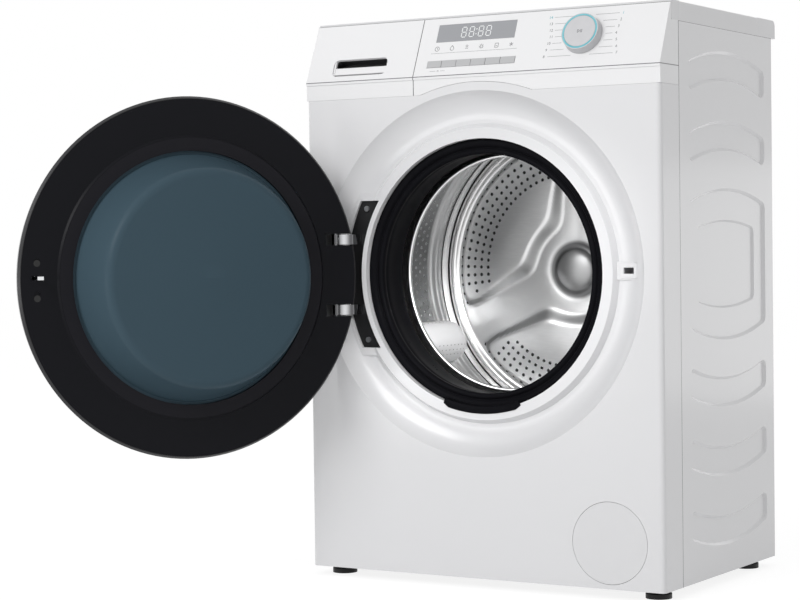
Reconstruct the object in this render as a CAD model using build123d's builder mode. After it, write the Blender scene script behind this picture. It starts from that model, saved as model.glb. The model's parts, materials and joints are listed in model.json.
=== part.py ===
from build123d import *
import os
from math import cos, radians, sin, sqrt

os.makedirs("parts", exist_ok=True)

# Millimetres. +X is to the right of someone facing the machine, +Y to its back, +Z up.
# The origin is on the floor, under the middle of the cabinet. Depths run back from the front face.

# Cabinet
WIDTH = 595.0
DEPTH = 410.0
HEIGHT = 850.0
GROUND_GAP = 14.0
SHEET = 1.2
WALL = 2.5
SEAM = 0.4
RUN_GAP = 0.3
FIT = 0.05
FRONT_WRAP = 62.0
FRONT_EDGE_R = 7.0
BASE_HEIGHT = 40.0
BASE_FLOOR = 3.0
TOP_FRAME_BAR = 30.0
TOP_FRAME_SHEET = 2.0

# Feet
FOOT_R = 19.0
FOOT_PAD = 9.0
FOOT_CHAMFER = 2.0
FOOT_NUT_R = 9.0
FOOT_STUD_R = 5.0
FOOT_STUD_LENGTH = 30.0
FOOT_BOSS_R = 13.0
FOOT_INSET_SIDE = 30.0
FOOT_INSET_END = 44.0

# Pressed bands of the side panels
BAND_MID_SHARE = 0.5693
BAND_PITCH_SHARE = 0.1275
BAND_HEIGHT = 44.0
BAND_BOW = 22.0
BAND_EDGE = 31.0
BAND_DEPTH = 4.0
BAND_TAPER = 45.0
BAND_CORNER = 12.0
BAND_FIRST_SHARE = 0.2079
FIELD_SHARE = 0.224
FIELD_INSET = 36.0
FIELD_STEP = 3.0

# Worktop
WORKTOP = 28.0
RAIL_GAP = 2.5
FRONT_RAIL_END = 66.0
REAR_RAIL = 54.0
REAR_OVERHANG = 16.0
WORKTOP_EDGE_R = 3.0
REAR_EDGE_R = 9.0

# Mouth of the front panel
ARCH_MARGIN = 13.0
ARCH_HEAD = 11.0
DISH_WIDTH = 42.0
DISH_LAP = 4.0
DISH_MID = 16.0
DISH_MID_DEPTH = 13.0
TROUGH_WIDTH = 6.0
TROUGH_WALL = 6.0
TROUGH_DEPTH = 20.0
LIP_WIDTH = 16.0
LIP_DEPTH = 10.0
MOUTH_INSET = 60.0
MOUTH_FLANGE = 12.0
LAND_DEPTH = 16.5
LAND_INSET = 20.0
HINGE_LAND_HALF = 124.0
LOCK_LAND_HALF = 13.0
POCKET_INSET = 8.0
POCKET_WIDTH = 32.0
POCKET_HALF = 112.0
POCKET_DEPTH = 24.5

# Fascia
FASCIA_RISE = 89.0
STRIP_HEIGHT = 27.5
FASCIA_DROP = 3.0
FASCIA_SETBACK = 38.0
FASCIA_LIP = 1.5
FASCIA_LIP_HEIGHT = 4.0
DRAWER_SPAN = 192.0
DISPLAY_INSET = 94.7
DISPLAY_UP = 70.5
DISPLAY_WIDTH = 132.4
DISPLAY_HEIGHT = 29.0
DISPLAY_THICK = 1.5
KEY_COUNT = 6
KEY_PITCH = 24.8
KEY_ROW_INSET = 95.1
KEY_UP = 19.5
KEY_HEIGHT = 11.0
KEY_GAP = 0.7
KEY_PROUD = 0.6
KEY_FLANGE = 1.5
KEY_TRAVEL = 0.8
DIAL_INSET = 128.5
DIAL_UP = 52.0
DIAL_R = 30.0
DIAL_TOP_R = 28.6
DIAL_HEIGHT = 13.0
DIAL_SHAFT_R = 4.0
DIAL_FLOOR = 4.0
RING_WIDTH = 3.0
RING_THICK = 2.0
START_R = 24.5
START_TRAVEL = 1.5
START_STEM_R = 5.0
BOARD_LEFT_ROOM = 10.5
BOARD_RIGHT_ROOM = 87.5
BOARD_UP = 37.0
BOARD_HEIGHT = 58.0
BOARD_DEPTH = 9.0
BOARD_THICK = 14.0
BOARD_POST_R = 3.5
BOARD_POST_INSET = 6.0

# Detergent drawer
RECESS_INSET = 92.5
RECESS_UP = 23.0
RECESS_WIDTH = 96.0
RECESS_HEIGHT = 28.0
RECESS_DEPTH = 20.0
RECESS_CORNER = 8.0
GRIP_UP = 18.5
GRIP_HEIGHT = 11.0
GRIP_FRONT = 3.0
GRIP_THICK = 6.0
TRAY_INSET = 107.5
TRAY_WIDTH = 125.0
TRAY_HEIGHT = 44.0
TRAY_ROOM = 40.5
TRAY_DROP = 12.0
TRAY_WALL = 2.0
TRAY_FRONT_BAY = 70.0
CARRIER_DEPTH = 34.0
CARRIER_MARGIN = 2.0
HOUSING_START = 64.0
HOUSING_ROOM = 78.0
HOUSING_SIDE_GAP = 1.5
HOUSING_HEAD = 4.0
HOUSING_POST = 14.0
WATER_INSET = 147.5
WATER_ROOM = 42.0
WATER_SPOUT = 8.0
WATER_STUB = 13.6
WATER_STUB_ROOT = 24.0
WATER_BORE_LENGTH = 48.0

# Door, with sizes in its closed place
DOOR_OPEN = 121.0
HINGE_INSET = 1.0
HINGE_FORWARD = 15.0
DOOR_MARGIN = 4.0
DOOR_RIM = 3.0
DOOR_TAPER = 5.0
DOOR_WAIST = 20.0
DOOR_CHAMFER = 12.0
DOOR_RIM_ROUND = 2.0
DOOR_OUTER_ROUND = 9.0
DOOR_INNER_ROUND = 6.0
DOOR_FRONT = 33.0
DOOR_SKIN = 3.0
DOOR_FACE = 4.0
INNER_FRAME_INSET = 4.4
DOOR_HOLE_INSET = 14.0
RAISED_WIDTH = 20.0
INNER_FRAME_RAISE = 2.8
WINDOW_MARGIN = 20.0
OUTER_LEDGE = 6.0
WINDOW_LAP = 8.0
WINDOW_THICK = 3.0
GLASS_THICK = 4.0
GLASS_FLANGE = 12.0
GLASS_GAP = 5.0
GLASS_TAPER = 24.0
GLASS_DEPTH = 74.0
GLASS_DOME = 5.0
GLASS_CORNER = 14.0
GLASS_NECK_R = 2.0
GLASS_ROOT_R = 4.0
ARM_SPACING = 107.0
ARM_HEIGHT = 15.0
ARM_THICK = 5.0
ARM_ROOT = 23.0
ARM_ELBOW = 20.0
ARM_ELBOW_DEPTH = 2.0
KNUCKLE_R = 6.5
PIN_R = 3.0
PIN_EXTRA = 7.0
EAR_HEIGHT = 6.0
EAR_WIDTH = 11.0
SLOT_REACH = 25.0
SLOT_EXTRA = 3.0
SLOT_DEPTH = 26.0
BRACKET_PLATE = 4.0
HINGE_SCREW_INSET = 36.0
HINGE_SCREW_HALF = 100.0

# Lock and hook
LOCK_OFFSET = 38.0
LOCK_UP = 4.0
LOCK_SLOT_WIDTH = 16.0
LOCK_SLOT_HEIGHT = 9.0
LOCK_BEZEL_WIDTH = 30.0
LOCK_BEZEL_HEIGHT = 22.0
LOCK_BODY_WIDTH = 34.0
LOCK_BODY_HEIGHT = 56.0
LOCK_BODY_DEPTH = 36.0
LOCK_CAVITY_HEIGHT = 14.0
HOOK_THICK = 5.0
HOOK_BAR = 5.0
HOOK_REACH = 23.0
HOOK_BARB = 2.5
HOOK_BARB_LENGTH = 5.0
HOOK_PIVOT_FORWARD = 8.0
HOOK_PIN_R = 2.5
HOOK_BOSS_R = 5.0
HOOK_EAR_WIDTH = 14.0
HOOK_EAR_HEIGHT = 5.0
HOOK_WINDOW_WIDTH = 17.0
DIMPLE_R = 4.5
DIMPLE_DEPTH = 1.5
DIMPLE_HALF = 23.0

# Door seal
GASKET_THICK = 4.0
GASKET_SETBACK = 8.0
GASKET_LIP = 23.0
GASKET_ROOT = 22.0
GASKET_ROOT_DEPTH = 52.0
GASKET_TIP = 26.0
GASKET_TIP_DEPTH = 72.0
GASKET_FOLD_R = 1.0
GASKET_DRAIN_WIDTH = 130.0
GASKET_DRAIN_LAP = 7.0
GASKET_DRAIN_THICK = 2.0

# Tub
TUB_SIDE_ROOM = 37.5
TUB_SHARE = 0.306
TUB_WALL = 4.0
TUB_FRONT = 88.0
TUB_BACK_ROOM = 54.0
TUB_MOUTH_INSET = 10.0
TUB_COLLAR = 14.0
TUB_FLANGE = 8.0
TUB_FLANGE_THICK = 5.0
HUB_R = 48.0
HUB_INSIDE = 14.0
HUB_OUTSIDE = 18.0
SUMP_X = 70.0
SUMP_DEPTH = 130.0
SUMP_LENGTH = 18.0
SUMP_SPOUT_LENGTH = 36.0
SPOUT_R = 16.0
SPOUT_BORE_R = 13.0
SPRING_INSET = 25.5
SPRING_SETBACK = 30.0
SPRING_R = 10.0
SPRING_BORE_R = 7.0
SPRING_LUG_RISE = 146.0
SPRING_LUG_THICK = 14.0
SPRING_LUG_WIDTH = 24.0
DAMPER_INSET = 147.5
DAMPER_SETBACK = 17.0
DAMPER_R = 14.0
DAMPER_ROD_R = 10.0
DAMPER_STROKE = 86.0
DAMPER_OVERLAP = 50.0
DAMPER_LUG_DROP = 15.6
DAMPER_LUG_SIZE = 24.0
DAMPER_LUG_HEIGHT = 48.0
FRONT_WEIGHT_INSET = 5.0
FRONT_WEIGHT_EDGE = 4.0
FRONT_WEIGHT_THICK = 44.0
FRONT_WEIGHT_ARC = 124.0
TOP_WEIGHT_X = 55.0
TOP_WEIGHT_WIDTH = 230.0
TOP_WEIGHT_SETBACK = 15.0
TOP_WEIGHT_ROOM = 8.0
TOP_WEIGHT_RISE = 41.0
HEATER_ROD_R = 3.5
HEATER_HALF = 15.0
HEATER_INSET = 14.0
HEATER_ROOM = 52.0
HEATER_BEND_R = 12.0
HEATER_FLANGE_WIDTH = 56.0
HEATER_FLANGE_HEIGHT = 16.0
HEATER_FLANGE_THICK = 6.0

# Drum
DRUM_SIDE_ROOM = 24.0
DRUM_SHEET = 1.0
DRUM_FRONT = 102.0
DRUM_BACK_ROOM = 34.0
DRUM_MOUTH_INSET = 24.0
DRUM_SHOULDER = 10.0
DRUM_LIP_R = 4.0
BEAD_R = 5.0
BEAD_SETBACKS = (14.0, 30.0)
BACK_SHEET = 1.5
BACK_RIM_R = 6.0
STAR_ANGLE = 206.0
STAR_COUNT = 3
STAR_HUB_R = 76.0
STAR_MARGIN = 22.0
STAR_INNER_HALF = 29.0
STAR_OUTER_HALF = 32.0
PAD_RAISE = 10.0
PAD_TAPER = 38.0
PAD_CORNER_R = 24.0
HUB_DOME_R = 40.0
HUB_DOME_RAISE = 12.0
HUB_DOME_TURN = 45.0
LIFTER_ANGLE = 210.0
LIFTER_HEIGHT = 46.0
LIFTER_BASE_HALF = 34.0
LIFTER_TOP_HALF = 15.0
LIFTER_TOP_R = 10.0
LIFTER_START = 6.0
LIFTER_ROOM = 66.0

# Drive
SHAFT_R = 12.5
SHAFT_ROOM = 8.0
BEARING_R = 26.0
BEARING_WIDTH = 15.0
SPIDER_HUB_R = 34.0
SPIDER_GAP = 2.0
SPIDER_THICK = 12.0
SPIDER_ARM_WIDTH = 34.0
SPIDER_MARGIN = 10.0
PULLEY_ROOM = 30.0
PULLEY_WIDTH = 14.0
PULLEY_R = 140.0
PULLEY_RIM = 6.0
PULLEY_WEB = 5.0
PULLEY_HUB_R = 28.0
PULLEY_WINDOW_R = 34.0
PULLEY_WINDOWS = 5
MOTOR_HANG = 69.0
MOTOR_R = 55.0
MOTOR_LENGTH = 114.0
MOTOR_ROOM = 40.0
MOTOR_EAR_WIDTH = 70.0
MOTOR_EAR_INSET = 6.0
MOTOR_EAR_LENGTH = 70.0
MOTOR_SHAFT_R = 6.0
MOTOR_PULLEY_R = 9.0
MOTOR_BORE_DEPTH = 30.0
BELT_WIDTH = 10.0
BELT_THICK = 2.5

# Drain
FILTER_INSET = 85.5
FILTER_HEIGHT = 80.0
FILTER_COVER_R = 59.5
FILTER_COVER_THICK = 2.5
FILTER_COVER_GAP = 0.6
FILTER_COLLAR = 12.0
FILTER_CLIP_R = 4.0
FILTER_CLIP_LENGTH = 11.0
FILTER_CLIPS = 4
FILTER_BORE_R = 30.0
FILTER_WALL = 4.0
FILTER_START = 30.0
FILTER_LENGTH = 110.0
PLUG_FLANGE_R = 36.0
PLUG_FLANGE_THICK = 7.0
PLUG_LENGTH = 30.0
PLUG_GRIP_WIDTH = 10.0
PLUG_GRIP_HEIGHT = 12.0
PUMP_R = 38.0
PUMP_LENGTH = 70.0
PUMP_FOOT_WIDTH = 60.0
HOSE_BEND_R = 24.0
PUMP_SPOUT = 6.0

# Back
SERVICE_SIDE = 107.5
SERVICE_END = 160.0
SERVICE_START = 120.0
SERVICE_CORNER = 40.0
SERVICE_LAP = 12.0
SERVICE_SCREW_SHARE = 0.8
SERVICE_RIB = 3.0
SCREW_R = 2.0
SCREW_HEAD_R = 4.2
SCREW_HEAD = 2.6
SCREW_LENGTH = 9.0
TRANSIT_R = 9.0
TRANSIT_INSET = 71.5
TRANSIT_BELOW = 164.0
TRANSIT_ABOVE = 156.0
INLET_INSET = 97.5
INLET_DROP = 80.0
INLET_THREAD_R = 13.2
INLET_NECK_R = 12.0
INLET_THREAD_LENGTH = 14.0
INLET_BODY = 44.0
INLET_BODY_DEPTH = 40.0
INLET_NOZZLE_R = 7.0
INLET_BORE_R = 8.0
GLAND_INSET = 52.5
GLAND_DROP = 105.0
GLAND_R = 9.0
GLAND_BORE_R = 4.0
DRAIN_INSET = 47.5
DRAIN_HEIGHT = 95.0
DRAIN_R = 15.0
DRAIN_BORE_R = 11.0
GROMMET_FLANGE = 4.0
GROMMET_HEAD = 3.0

# Cabinet places worked out from the sizes above
X_SIDE = WIDTH / 2
X_INNER = X_SIDE - SHEET
Y_FRONT = -DEPTH / 2
Y_BACK = DEPTH / 2
SIDE_TOP = HEIGHT - WORKTOP
FRAME_UNDER = SIDE_TOP - TOP_FRAME_SHEET
BASE_TOP = GROUND_GAP + BASE_FLOOR
PANEL_HEIGHT = SIDE_TOP - GROUND_GAP
BAND_MID_HEIGHT = GROUND_GAP + BAND_MID_SHARE * PANEL_HEIGHT
BAND_PITCH = BAND_PITCH_SHARE * PANEL_HEIGHT
BAND_FIRST = BAND_FIRST_SHARE * PANEL_HEIGHT
FIELD_HEIGHT = FIELD_SHARE * PANEL_HEIGHT
REAR_RAIL_START = DEPTH - REAR_RAIL

# The tub fills the width or the height of the cabinet, whichever leaves less, and the mouth follows it
TUB_R = min(X_SIDE - TUB_SIDE_ROOM, TUB_SHARE * HEIGHT)
TUB_INNER_R = TUB_R - TUB_WALL
TUB_BACK = DEPTH - TUB_BACK_ROOM
TUB_SPLIT = (TUB_FRONT + TUB_BACK) / 2
DRUM_R = TUB_R - DRUM_SIDE_ROOM
DRUM_BACK = TUB_BACK - DRUM_BACK_ROOM
MOUTH_R = TUB_R - MOUTH_INSET
LIP_R = MOUTH_R + LIP_WIDTH
TROUGH_INNER_R = LIP_R + TROUGH_WALL
TROUGH_R = TROUGH_INNER_R + TROUGH_WIDTH
DISH_R = TROUGH_R + DISH_WIDTH
DISH_MID_R = DISH_R - DISH_MID
ARCH_R = DISH_R + ARCH_MARGIN
LAND_OUTER_R = DISH_R - LAND_INSET
POCKET_INNER_R = MOUTH_R + POCKET_INSET
POCKET_OUTER_R = POCKET_INNER_R + POCKET_WIDTH

# Fascia, with the drum's axis hung below it
FASCIA_TOP = HEIGHT - FASCIA_DROP
FASCIA_FOOT = FASCIA_TOP - FASCIA_RISE
FASCIA_SLOPE = sqrt(FASCIA_RISE**2 + FASCIA_SETBACK**2)
PANEL_SEAM = FASCIA_FOOT - STRIP_HEIGHT
AXIS_HEIGHT = FASCIA_FOOT - ARCH_HEAD - ARCH_R
RAIL_FRONT = FASCIA_SETBACK - FASCIA_LIP + RAIL_GAP
DRAWER_SEAM_X = DRAWER_SPAN - X_SIDE
DISPLAY_X = DRAWER_SEAM_X + DISPLAY_INSET
KEY_ROW_X = DRAWER_SEAM_X + KEY_ROW_INSET
DIAL_X = X_SIDE - DIAL_INSET
BOARD_START = DRAWER_SEAM_X + BOARD_LEFT_ROOM
BOARD_END = X_SIDE - BOARD_RIGHT_ROOM
BOARD_WIDTH = BOARD_END - BOARD_START
BOARD_X = (BOARD_START + BOARD_END) / 2

# Detergent drawer and water
RECESS_X = RECESS_INSET - X_SIDE
TRAY_X = TRAY_INSET - X_SIDE
TRAY_BOTTOM = FASCIA_FOOT - TRAY_DROP
TRAY_START = CARRIER_DEPTH + WALL
HOUSING_LENGTH = DEPTH - HOUSING_START - HOUSING_ROOM
HOUSING_BACK = HOUSING_START + HOUSING_LENGTH
TRAY_LENGTH = HOUSING_BACK - TRAY_ROOM - TRAY_START
WATER_X = WATER_INSET - X_SIDE
WATER_DEPTH = HOUSING_BACK - WATER_ROOM
WATER_STUB_TOP = AXIS_HEIGHT + sqrt(TUB_R**2 - WATER_X**2) + WATER_STUB
INLET_X = INLET_INSET - X_SIDE
INLET_HEIGHT = HEIGHT - INLET_DROP

# Door, lock and seal
HINGE_X = HINGE_INSET - POCKET_OUTER_R
ARM_ROOT_X = HINGE_X + ARM_ROOT
ARM_ELBOW_X = HINGE_X + ARM_ELBOW
SLOT_INNER_X = HINGE_X + SLOT_REACH
HINGE_SCREW_X = HINGE_X + HINGE_SCREW_INSET
LOCK_X = MOUTH_R + LOCK_OFFSET
DOOR_R = DISH_R - DOOR_MARGIN
DOOR_RIM_R = DOOR_R - DOOR_RIM
DOOR_WAIST_R = DOOR_R - DOOR_TAPER
INNER_FRAME_R = DOOR_R - INNER_FRAME_INSET
INNER_FRAME_HOLE_R = MOUTH_R - DOOR_HOLE_INSET
INNER_FRAME_RAISED_R = INNER_FRAME_HOLE_R + RAISED_WIDTH
OUTER_FRAME_HOLE_R = INNER_FRAME_HOLE_R + WINDOW_MARGIN
GLASS_FLANGE_R = INNER_FRAME_HOLE_R + GLASS_FLANGE
GLASS_BOWL_R = INNER_FRAME_HOLE_R - GLASS_GAP
GLASS_BOTTOM_R = GLASS_BOWL_R - GLASS_TAPER
GASKET_OUTER_R = MOUTH_R - RUN_GAP
GASKET_FRONT = LIP_DEPTH + GASKET_SETBACK
GASKET_INNER_R = MOUTH_R - GASKET_LIP
GASKET_ROOT_R = MOUTH_R - GASKET_ROOT
GASKET_TIP_R = MOUTH_R - GASKET_TIP

# Tub fittings, drum and drive
TUB_MOUTH_R = MOUTH_R - TUB_MOUTH_INSET
SPRING_X = X_SIDE - SPRING_INSET
SPRING_DEPTH = TUB_SPLIT + SPRING_SETBACK
SPRING_LUG_HEIGHT = AXIS_HEIGHT + SPRING_LUG_RISE
SPRING_LUG_REACH = SPRING_X - sqrt(TUB_INNER_R**2 - SPRING_LUG_RISE**2)
DAMPER_X = X_SIDE - DAMPER_INSET
DAMPER_DEPTH = TUB_SPLIT - DAMPER_SETBACK
DAMPER_LUG = AXIS_HEIGHT - sqrt(TUB_R**2 - DAMPER_X**2) - DAMPER_LUG_DROP
DAMPER_TOP = DAMPER_LUG - DAMPER_STROKE
DAMPER_ROD_BOTTOM = DAMPER_TOP - DAMPER_OVERLAP
FRONT_WEIGHT_INNER_R = MOUTH_R + FRONT_WEIGHT_INSET
FRONT_WEIGHT_OUTER_R = TUB_R - FRONT_WEIGHT_EDGE
TOP_WEIGHT_START = TUB_SPLIT + TOP_WEIGHT_SETBACK
TOP_WEIGHT_LENGTH = TUB_BACK - TOP_WEIGHT_ROOM - TOP_WEIGHT_START
TOP_WEIGHT_TOP = AXIS_HEIGHT + TUB_R + TOP_WEIGHT_RISE
HEATER_RADIUS = TUB_R - HEATER_INSET
HEATER_END = TUB_BACK - HEATER_ROOM
DRUM_MOUTH_R = MOUTH_R - DRUM_MOUTH_INSET
STAR_OUTER_R = DRUM_R - STAR_MARGIN
HUB_DOME_SHARE = cos(radians(HUB_DOME_TURN))
LIFTER_LENGTH = DRUM_BACK - DRUM_FRONT - LIFTER_ROOM
SPIDER_REACH = DRUM_R - SPIDER_MARGIN
SHAFT_END = DEPTH - SHAFT_ROOM
PULLEY_START = DEPTH - PULLEY_ROOM
MOTOR_END = DEPTH - MOTOR_ROOM
MOTOR_START = MOTOR_END - MOTOR_LENGTH
MOTOR_HEIGHT = AXIS_HEIGHT - TUB_R - MOTOR_HANG

# Drain and back
FILTER_X = X_SIDE - FILTER_INSET
FILTER_OUTER_R = FILTER_BORE_R + FILTER_WALL
PUMP_SPOUT_REACH = FILTER_OUTER_R + PUMP_SPOUT
SERVICE_WIDTH = WIDTH - 2 * SERVICE_SIDE
SERVICE_HEIGHT = HEIGHT - SERVICE_START - SERVICE_END
SERVICE_MIDDLE = SERVICE_START + SERVICE_HEIGHT / 2
TRANSIT_X = X_SIDE - TRANSIT_INSET
TRANSIT_LOW = AXIS_HEIGHT - TRANSIT_BELOW
TRANSIT_HIGH = AXIS_HEIGHT + TRANSIT_ABOVE
GLAND_X = X_SIDE - GLAND_INSET
GLAND_HEIGHT = HEIGHT - GLAND_DROP
DRAIN_X = X_SIDE - DRAIN_INSET

FRONT = Plane(origin=(0, Y_FRONT, 0), x_dir=(1, 0, 0), z_dir=(0, -1, 0))
MOUTH = Plane(origin=(0, Y_FRONT, AXIS_HEIGHT), x_dir=(1, 0, 0), z_dir=(0, -1, 0))
MOUTH_SECTION = Plane(origin=(0, Y_FRONT, AXIS_HEIGHT), x_dir=(1, 0, 0), z_dir=(0, 0, 1))
DRUM_AXIS = Axis((0, Y_FRONT, AXIS_HEIGHT), (0, 1, 0))
RIGHT_SIDE = Plane(origin=(X_SIDE, Y_FRONT, 0), x_dir=(0, 1, 0), z_dir=(1, 0, 0))
LEFT_SIDE = Plane(origin=(-X_SIDE, Y_FRONT, 0), x_dir=(0, 1, 0), z_dir=(1, 0, 0))
FASCIA = Plane(
    origin=(0, Y_FRONT - FASCIA_LIP, FASCIA_FOOT),
    x_dir=(1, 0, 0),
    z_dir=(0, -FASCIA_RISE, FASCIA_SETBACK),
)

# The open door's own frame: across it, and from its front skin towards its bowl
DOOR_ACROSS = Vector(cos(radians(DOOR_OPEN)), -sin(radians(DOOR_OPEN)), 0)
DOOR_INWARD = Vector(sin(radians(DOOR_OPEN)), cos(radians(DOOR_OPEN)), 0)
HINGE_POINT = Vector(HINGE_X, Y_FRONT - HINGE_FORWARD, 0)
DOOR_CENTRE = (
    HINGE_POINT - DOOR_ACROSS * HINGE_X + DOOR_INWARD * HINGE_FORWARD + Vector(0, 0, AXIS_HEIGHT)
)
DOOR = Plane(origin=DOOR_CENTRE, x_dir=DOOR_ACROSS, z_dir=DOOR_INWARD * -1)
DOOR_SECTION = Plane(origin=DOOR_CENTRE, x_dir=DOOR_ACROSS, z_dir=(0, 0, 1))
DOOR_AXIS = Axis(DOOR_CENTRE, DOOR_INWARD)

FOOT_PLACES = {
    "front_left": (-X_SIDE + FOOT_INSET_SIDE, Y_FRONT + FOOT_INSET_END),
    "front_right": (X_SIDE - FOOT_INSET_SIDE, Y_FRONT + FOOT_INSET_END),
    "rear_left": (-X_SIDE + FOOT_INSET_SIDE, Y_BACK - FOOT_INSET_END),
    "rear_right": (X_SIDE - FOOT_INSET_SIDE, Y_BACK - FOOT_INSET_END),
}
HINGE_SCREWS = ((HINGE_SCREW_X, HINGE_SCREW_HALF), (HINGE_SCREW_X, -HINGE_SCREW_HALF))
ARM_LEVELS = (ARM_SPACING / 2, -ARM_SPACING / 2)
SERVICE_SCREWS_X = SERVICE_WIDTH + SERVICE_LAP
SERVICE_SCREWS_Z = (SERVICE_HEIGHT + SERVICE_LAP) / 2


def hinge_sector(plane, inner_r, outer_r, half):
    """Ring sector on the hinge side of the mouth, cut off level above and below."""
    with BuildSketch(plane) as sector:
        Circle(outer_r)
        Circle(inner_r, mode=Mode.SUBTRACT)
        Rectangle(2 * outer_r, 2 * half, mode=Mode.INTERSECT)
        Rectangle(outer_r, 2 * half, align=(Align.MAX, Align.CENTER), mode=Mode.INTERSECT)
    return sector.sketch


def pressed_band(plane, half, low, high, low_bow, high_bow):
    """Outline of one pressed band: two bowed long edges and two upright ends."""
    with BuildSketch(plane) as band:
        with BuildLine():
            ThreePointArc((-half, low), (0, low + low_bow), (half, low))
            Line((half, low), (half, high))
            ThreePointArc((half, high), (0, high + high_bow), (-half, high))
            Line((-half, high), (-half, low))
        make_face()
        fillet(band.vertices(), BAND_CORNER)
    return band.sketch


def panel_end(plane, top):
    """Side view of the fascia moulding, from its strip up to its top edge and back to the side panel."""
    with BuildSketch(plane) as end:
        with BuildLine():
            Polyline(
                (0, PANEL_SEAM + SEAM / 2),
                (0, FASCIA_FOOT - FASCIA_LIP_HEIGHT),
                (-FASCIA_LIP, FASCIA_FOOT - FASCIA_LIP_HEIGHT),
                (-FASCIA_LIP, FASCIA_FOOT),
                (FASCIA_SETBACK - FASCIA_LIP, FASCIA_TOP),
                (RAIL_FRONT - SEAM, FASCIA_TOP),
                (RAIL_FRONT - SEAM, top),
                (FRONT_WRAP - SEAM, top),
                (FRONT_WRAP - SEAM, PANEL_SEAM + SEAM / 2),
                close=True,
            )
        make_face()
    return end.sketch


# Base tray that carries the feet, the dampers and the pump
with BuildPart() as base_frame:
    with BuildSketch(Plane.XY.offset(GROUND_GAP)):
        RectangleRounded(2 * X_INNER, DEPTH - 2 * SHEET, FRONT_EDGE_R)
    extrude(amount=BASE_HEIGHT)
    with BuildSketch(Plane.XY.offset(BASE_TOP)):
        RectangleRounded(
            2 * (X_INNER - BASE_FLOOR), DEPTH - 2 * (SHEET + BASE_FLOOR), FRONT_EDGE_R - BASE_FLOOR
        )
    extrude(amount=BASE_HEIGHT, mode=Mode.SUBTRACT)
    with BuildSketch(FRONT):
        with Locations((FILTER_X, BASE_TOP)):
            Rectangle(
                2 * (FILTER_COVER_R + FILTER_WALL), BASE_HEIGHT, align=(Align.CENTER, Align.MIN)
            )
    extrude(amount=-(SHEET + BASE_FLOOR), mode=Mode.SUBTRACT)
    with BuildSketch(Plane.XY.offset(GROUND_GAP)):
        with Locations(*FOOT_PLACES.values()):
            Circle(FOOT_BOSS_R)
    extrude(amount=BASE_HEIGHT)
    with BuildSketch(Plane.XY.offset(GROUND_GAP)):
        with Locations(*FOOT_PLACES.values()):
            Circle(FOOT_STUD_R + FIT)
    extrude(amount=BASE_HEIGHT, mode=Mode.SUBTRACT)
base_frame.part.label = "base_frame"
export_step(base_frame.part, "parts/base_frame.step")

# Four levelling feet: rubber pad, lock nut and stud
for place, (foot_x, foot_y) in FOOT_PLACES.items():
    foot_plane = Plane(origin=(foot_x, foot_y, 0))
    with BuildPart() as foot:
        with BuildSketch(foot_plane):
            Circle(FOOT_R)
        extrude(amount=FOOT_PAD)
        chamfer(foot.edges().group_by(Axis.Z)[-1], FOOT_CHAMFER)
        with BuildSketch(foot_plane.offset(FOOT_PAD)):
            RegularPolygon(FOOT_NUT_R, 6)
        extrude(amount=GROUND_GAP - FOOT_PAD - RUN_GAP)
        with BuildSketch(foot_plane.offset(FOOT_PAD)):
            Circle(FOOT_STUD_R)
        extrude(amount=GROUND_GAP - FOOT_PAD + FOOT_STUD_LENGTH)
    foot.part.label = f"foot_{place}"
    export_step(foot.part, f"parts/foot_{place}.step")

# Right side panel with its pressed bands, and its mirror image
SIDE_LENGTH = DEPTH - FRONT_WRAP - SEAM
SIDE_MID_DEPTH = DEPTH - SIDE_LENGTH / 2
BAND_FACE = Plane(
    origin=(X_SIDE, Y_FRONT + SIDE_MID_DEPTH, BAND_MID_HEIGHT), x_dir=(0, 1, 0), z_dir=(1, 0, 0)
)
BAND_HALF = SIDE_LENGTH / 2 - BAND_EDGE
BAND_UPS = (BAND_FIRST, BAND_FIRST + BAND_PITCH)
BAND_DOWNS = (-BAND_FIRST, -BAND_FIRST - BAND_PITCH, -BAND_FIRST - 2 * BAND_PITCH)


def side_bands(plane, grow):
    """Every first-level pressing of a side panel, grown by a margin all round."""
    bands = []
    for up in BAND_UPS:
        low = up - BAND_BOW - grow
        high = up + BAND_HEIGHT - BAND_BOW + grow
        bands.append(pressed_band(plane, BAND_HALF + grow, low, high, BAND_BOW, BAND_BOW))
    for down in BAND_DOWNS:
        low = down - BAND_HEIGHT + BAND_BOW - grow
        high = down + BAND_BOW + grow
        bands.append(pressed_band(plane, BAND_HALF + grow, low, high, -BAND_BOW, -BAND_BOW))
    field = FIELD_HEIGHT / 2 + grow
    bands.append(pressed_band(plane, BAND_HALF + grow, -field, field, -BAND_BOW, BAND_BOW))
    return bands


def inner_field(plane, grow):
    """The second, deeper pressing in the middle of a side panel."""
    half = BAND_HALF - FIELD_INSET + grow
    rise = FIELD_HEIGHT / 2 - FIELD_INSET + grow
    return pressed_band(plane, half, -rise, rise, -BAND_BOW / 2, BAND_BOW / 2)


with BuildPart() as right_side_panel:
    with BuildSketch(RIGHT_SIDE):
        with Locations((SIDE_MID_DEPTH, GROUND_GAP)):
            Rectangle(SIDE_LENGTH, SIDE_TOP - GROUND_GAP, align=(Align.CENTER, Align.MIN))
    extrude(amount=-SHEET)
    for band_outline in side_bands(BAND_FACE, SHEET):
        extrude(band_outline, amount=-(BAND_DEPTH + SHEET), taper=BAND_TAPER)
    for band_outline in side_bands(BAND_FACE, 0):
        extrude(band_outline, amount=-BAND_DEPTH, taper=BAND_TAPER, mode=Mode.SUBTRACT)
    extrude(
        inner_field(BAND_FACE.offset(-BAND_DEPTH), SHEET),
        amount=-(FIELD_STEP + SHEET),
        taper=BAND_TAPER,
    )
    extrude(
        inner_field(BAND_FACE.offset(-BAND_DEPTH), 0),
        amount=-FIELD_STEP,
        taper=BAND_TAPER,
        mode=Mode.SUBTRACT,
    )
right_side_panel.part.label = "right_side_panel"
export_step(right_side_panel.part, "parts/right_side_panel.step")

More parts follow.
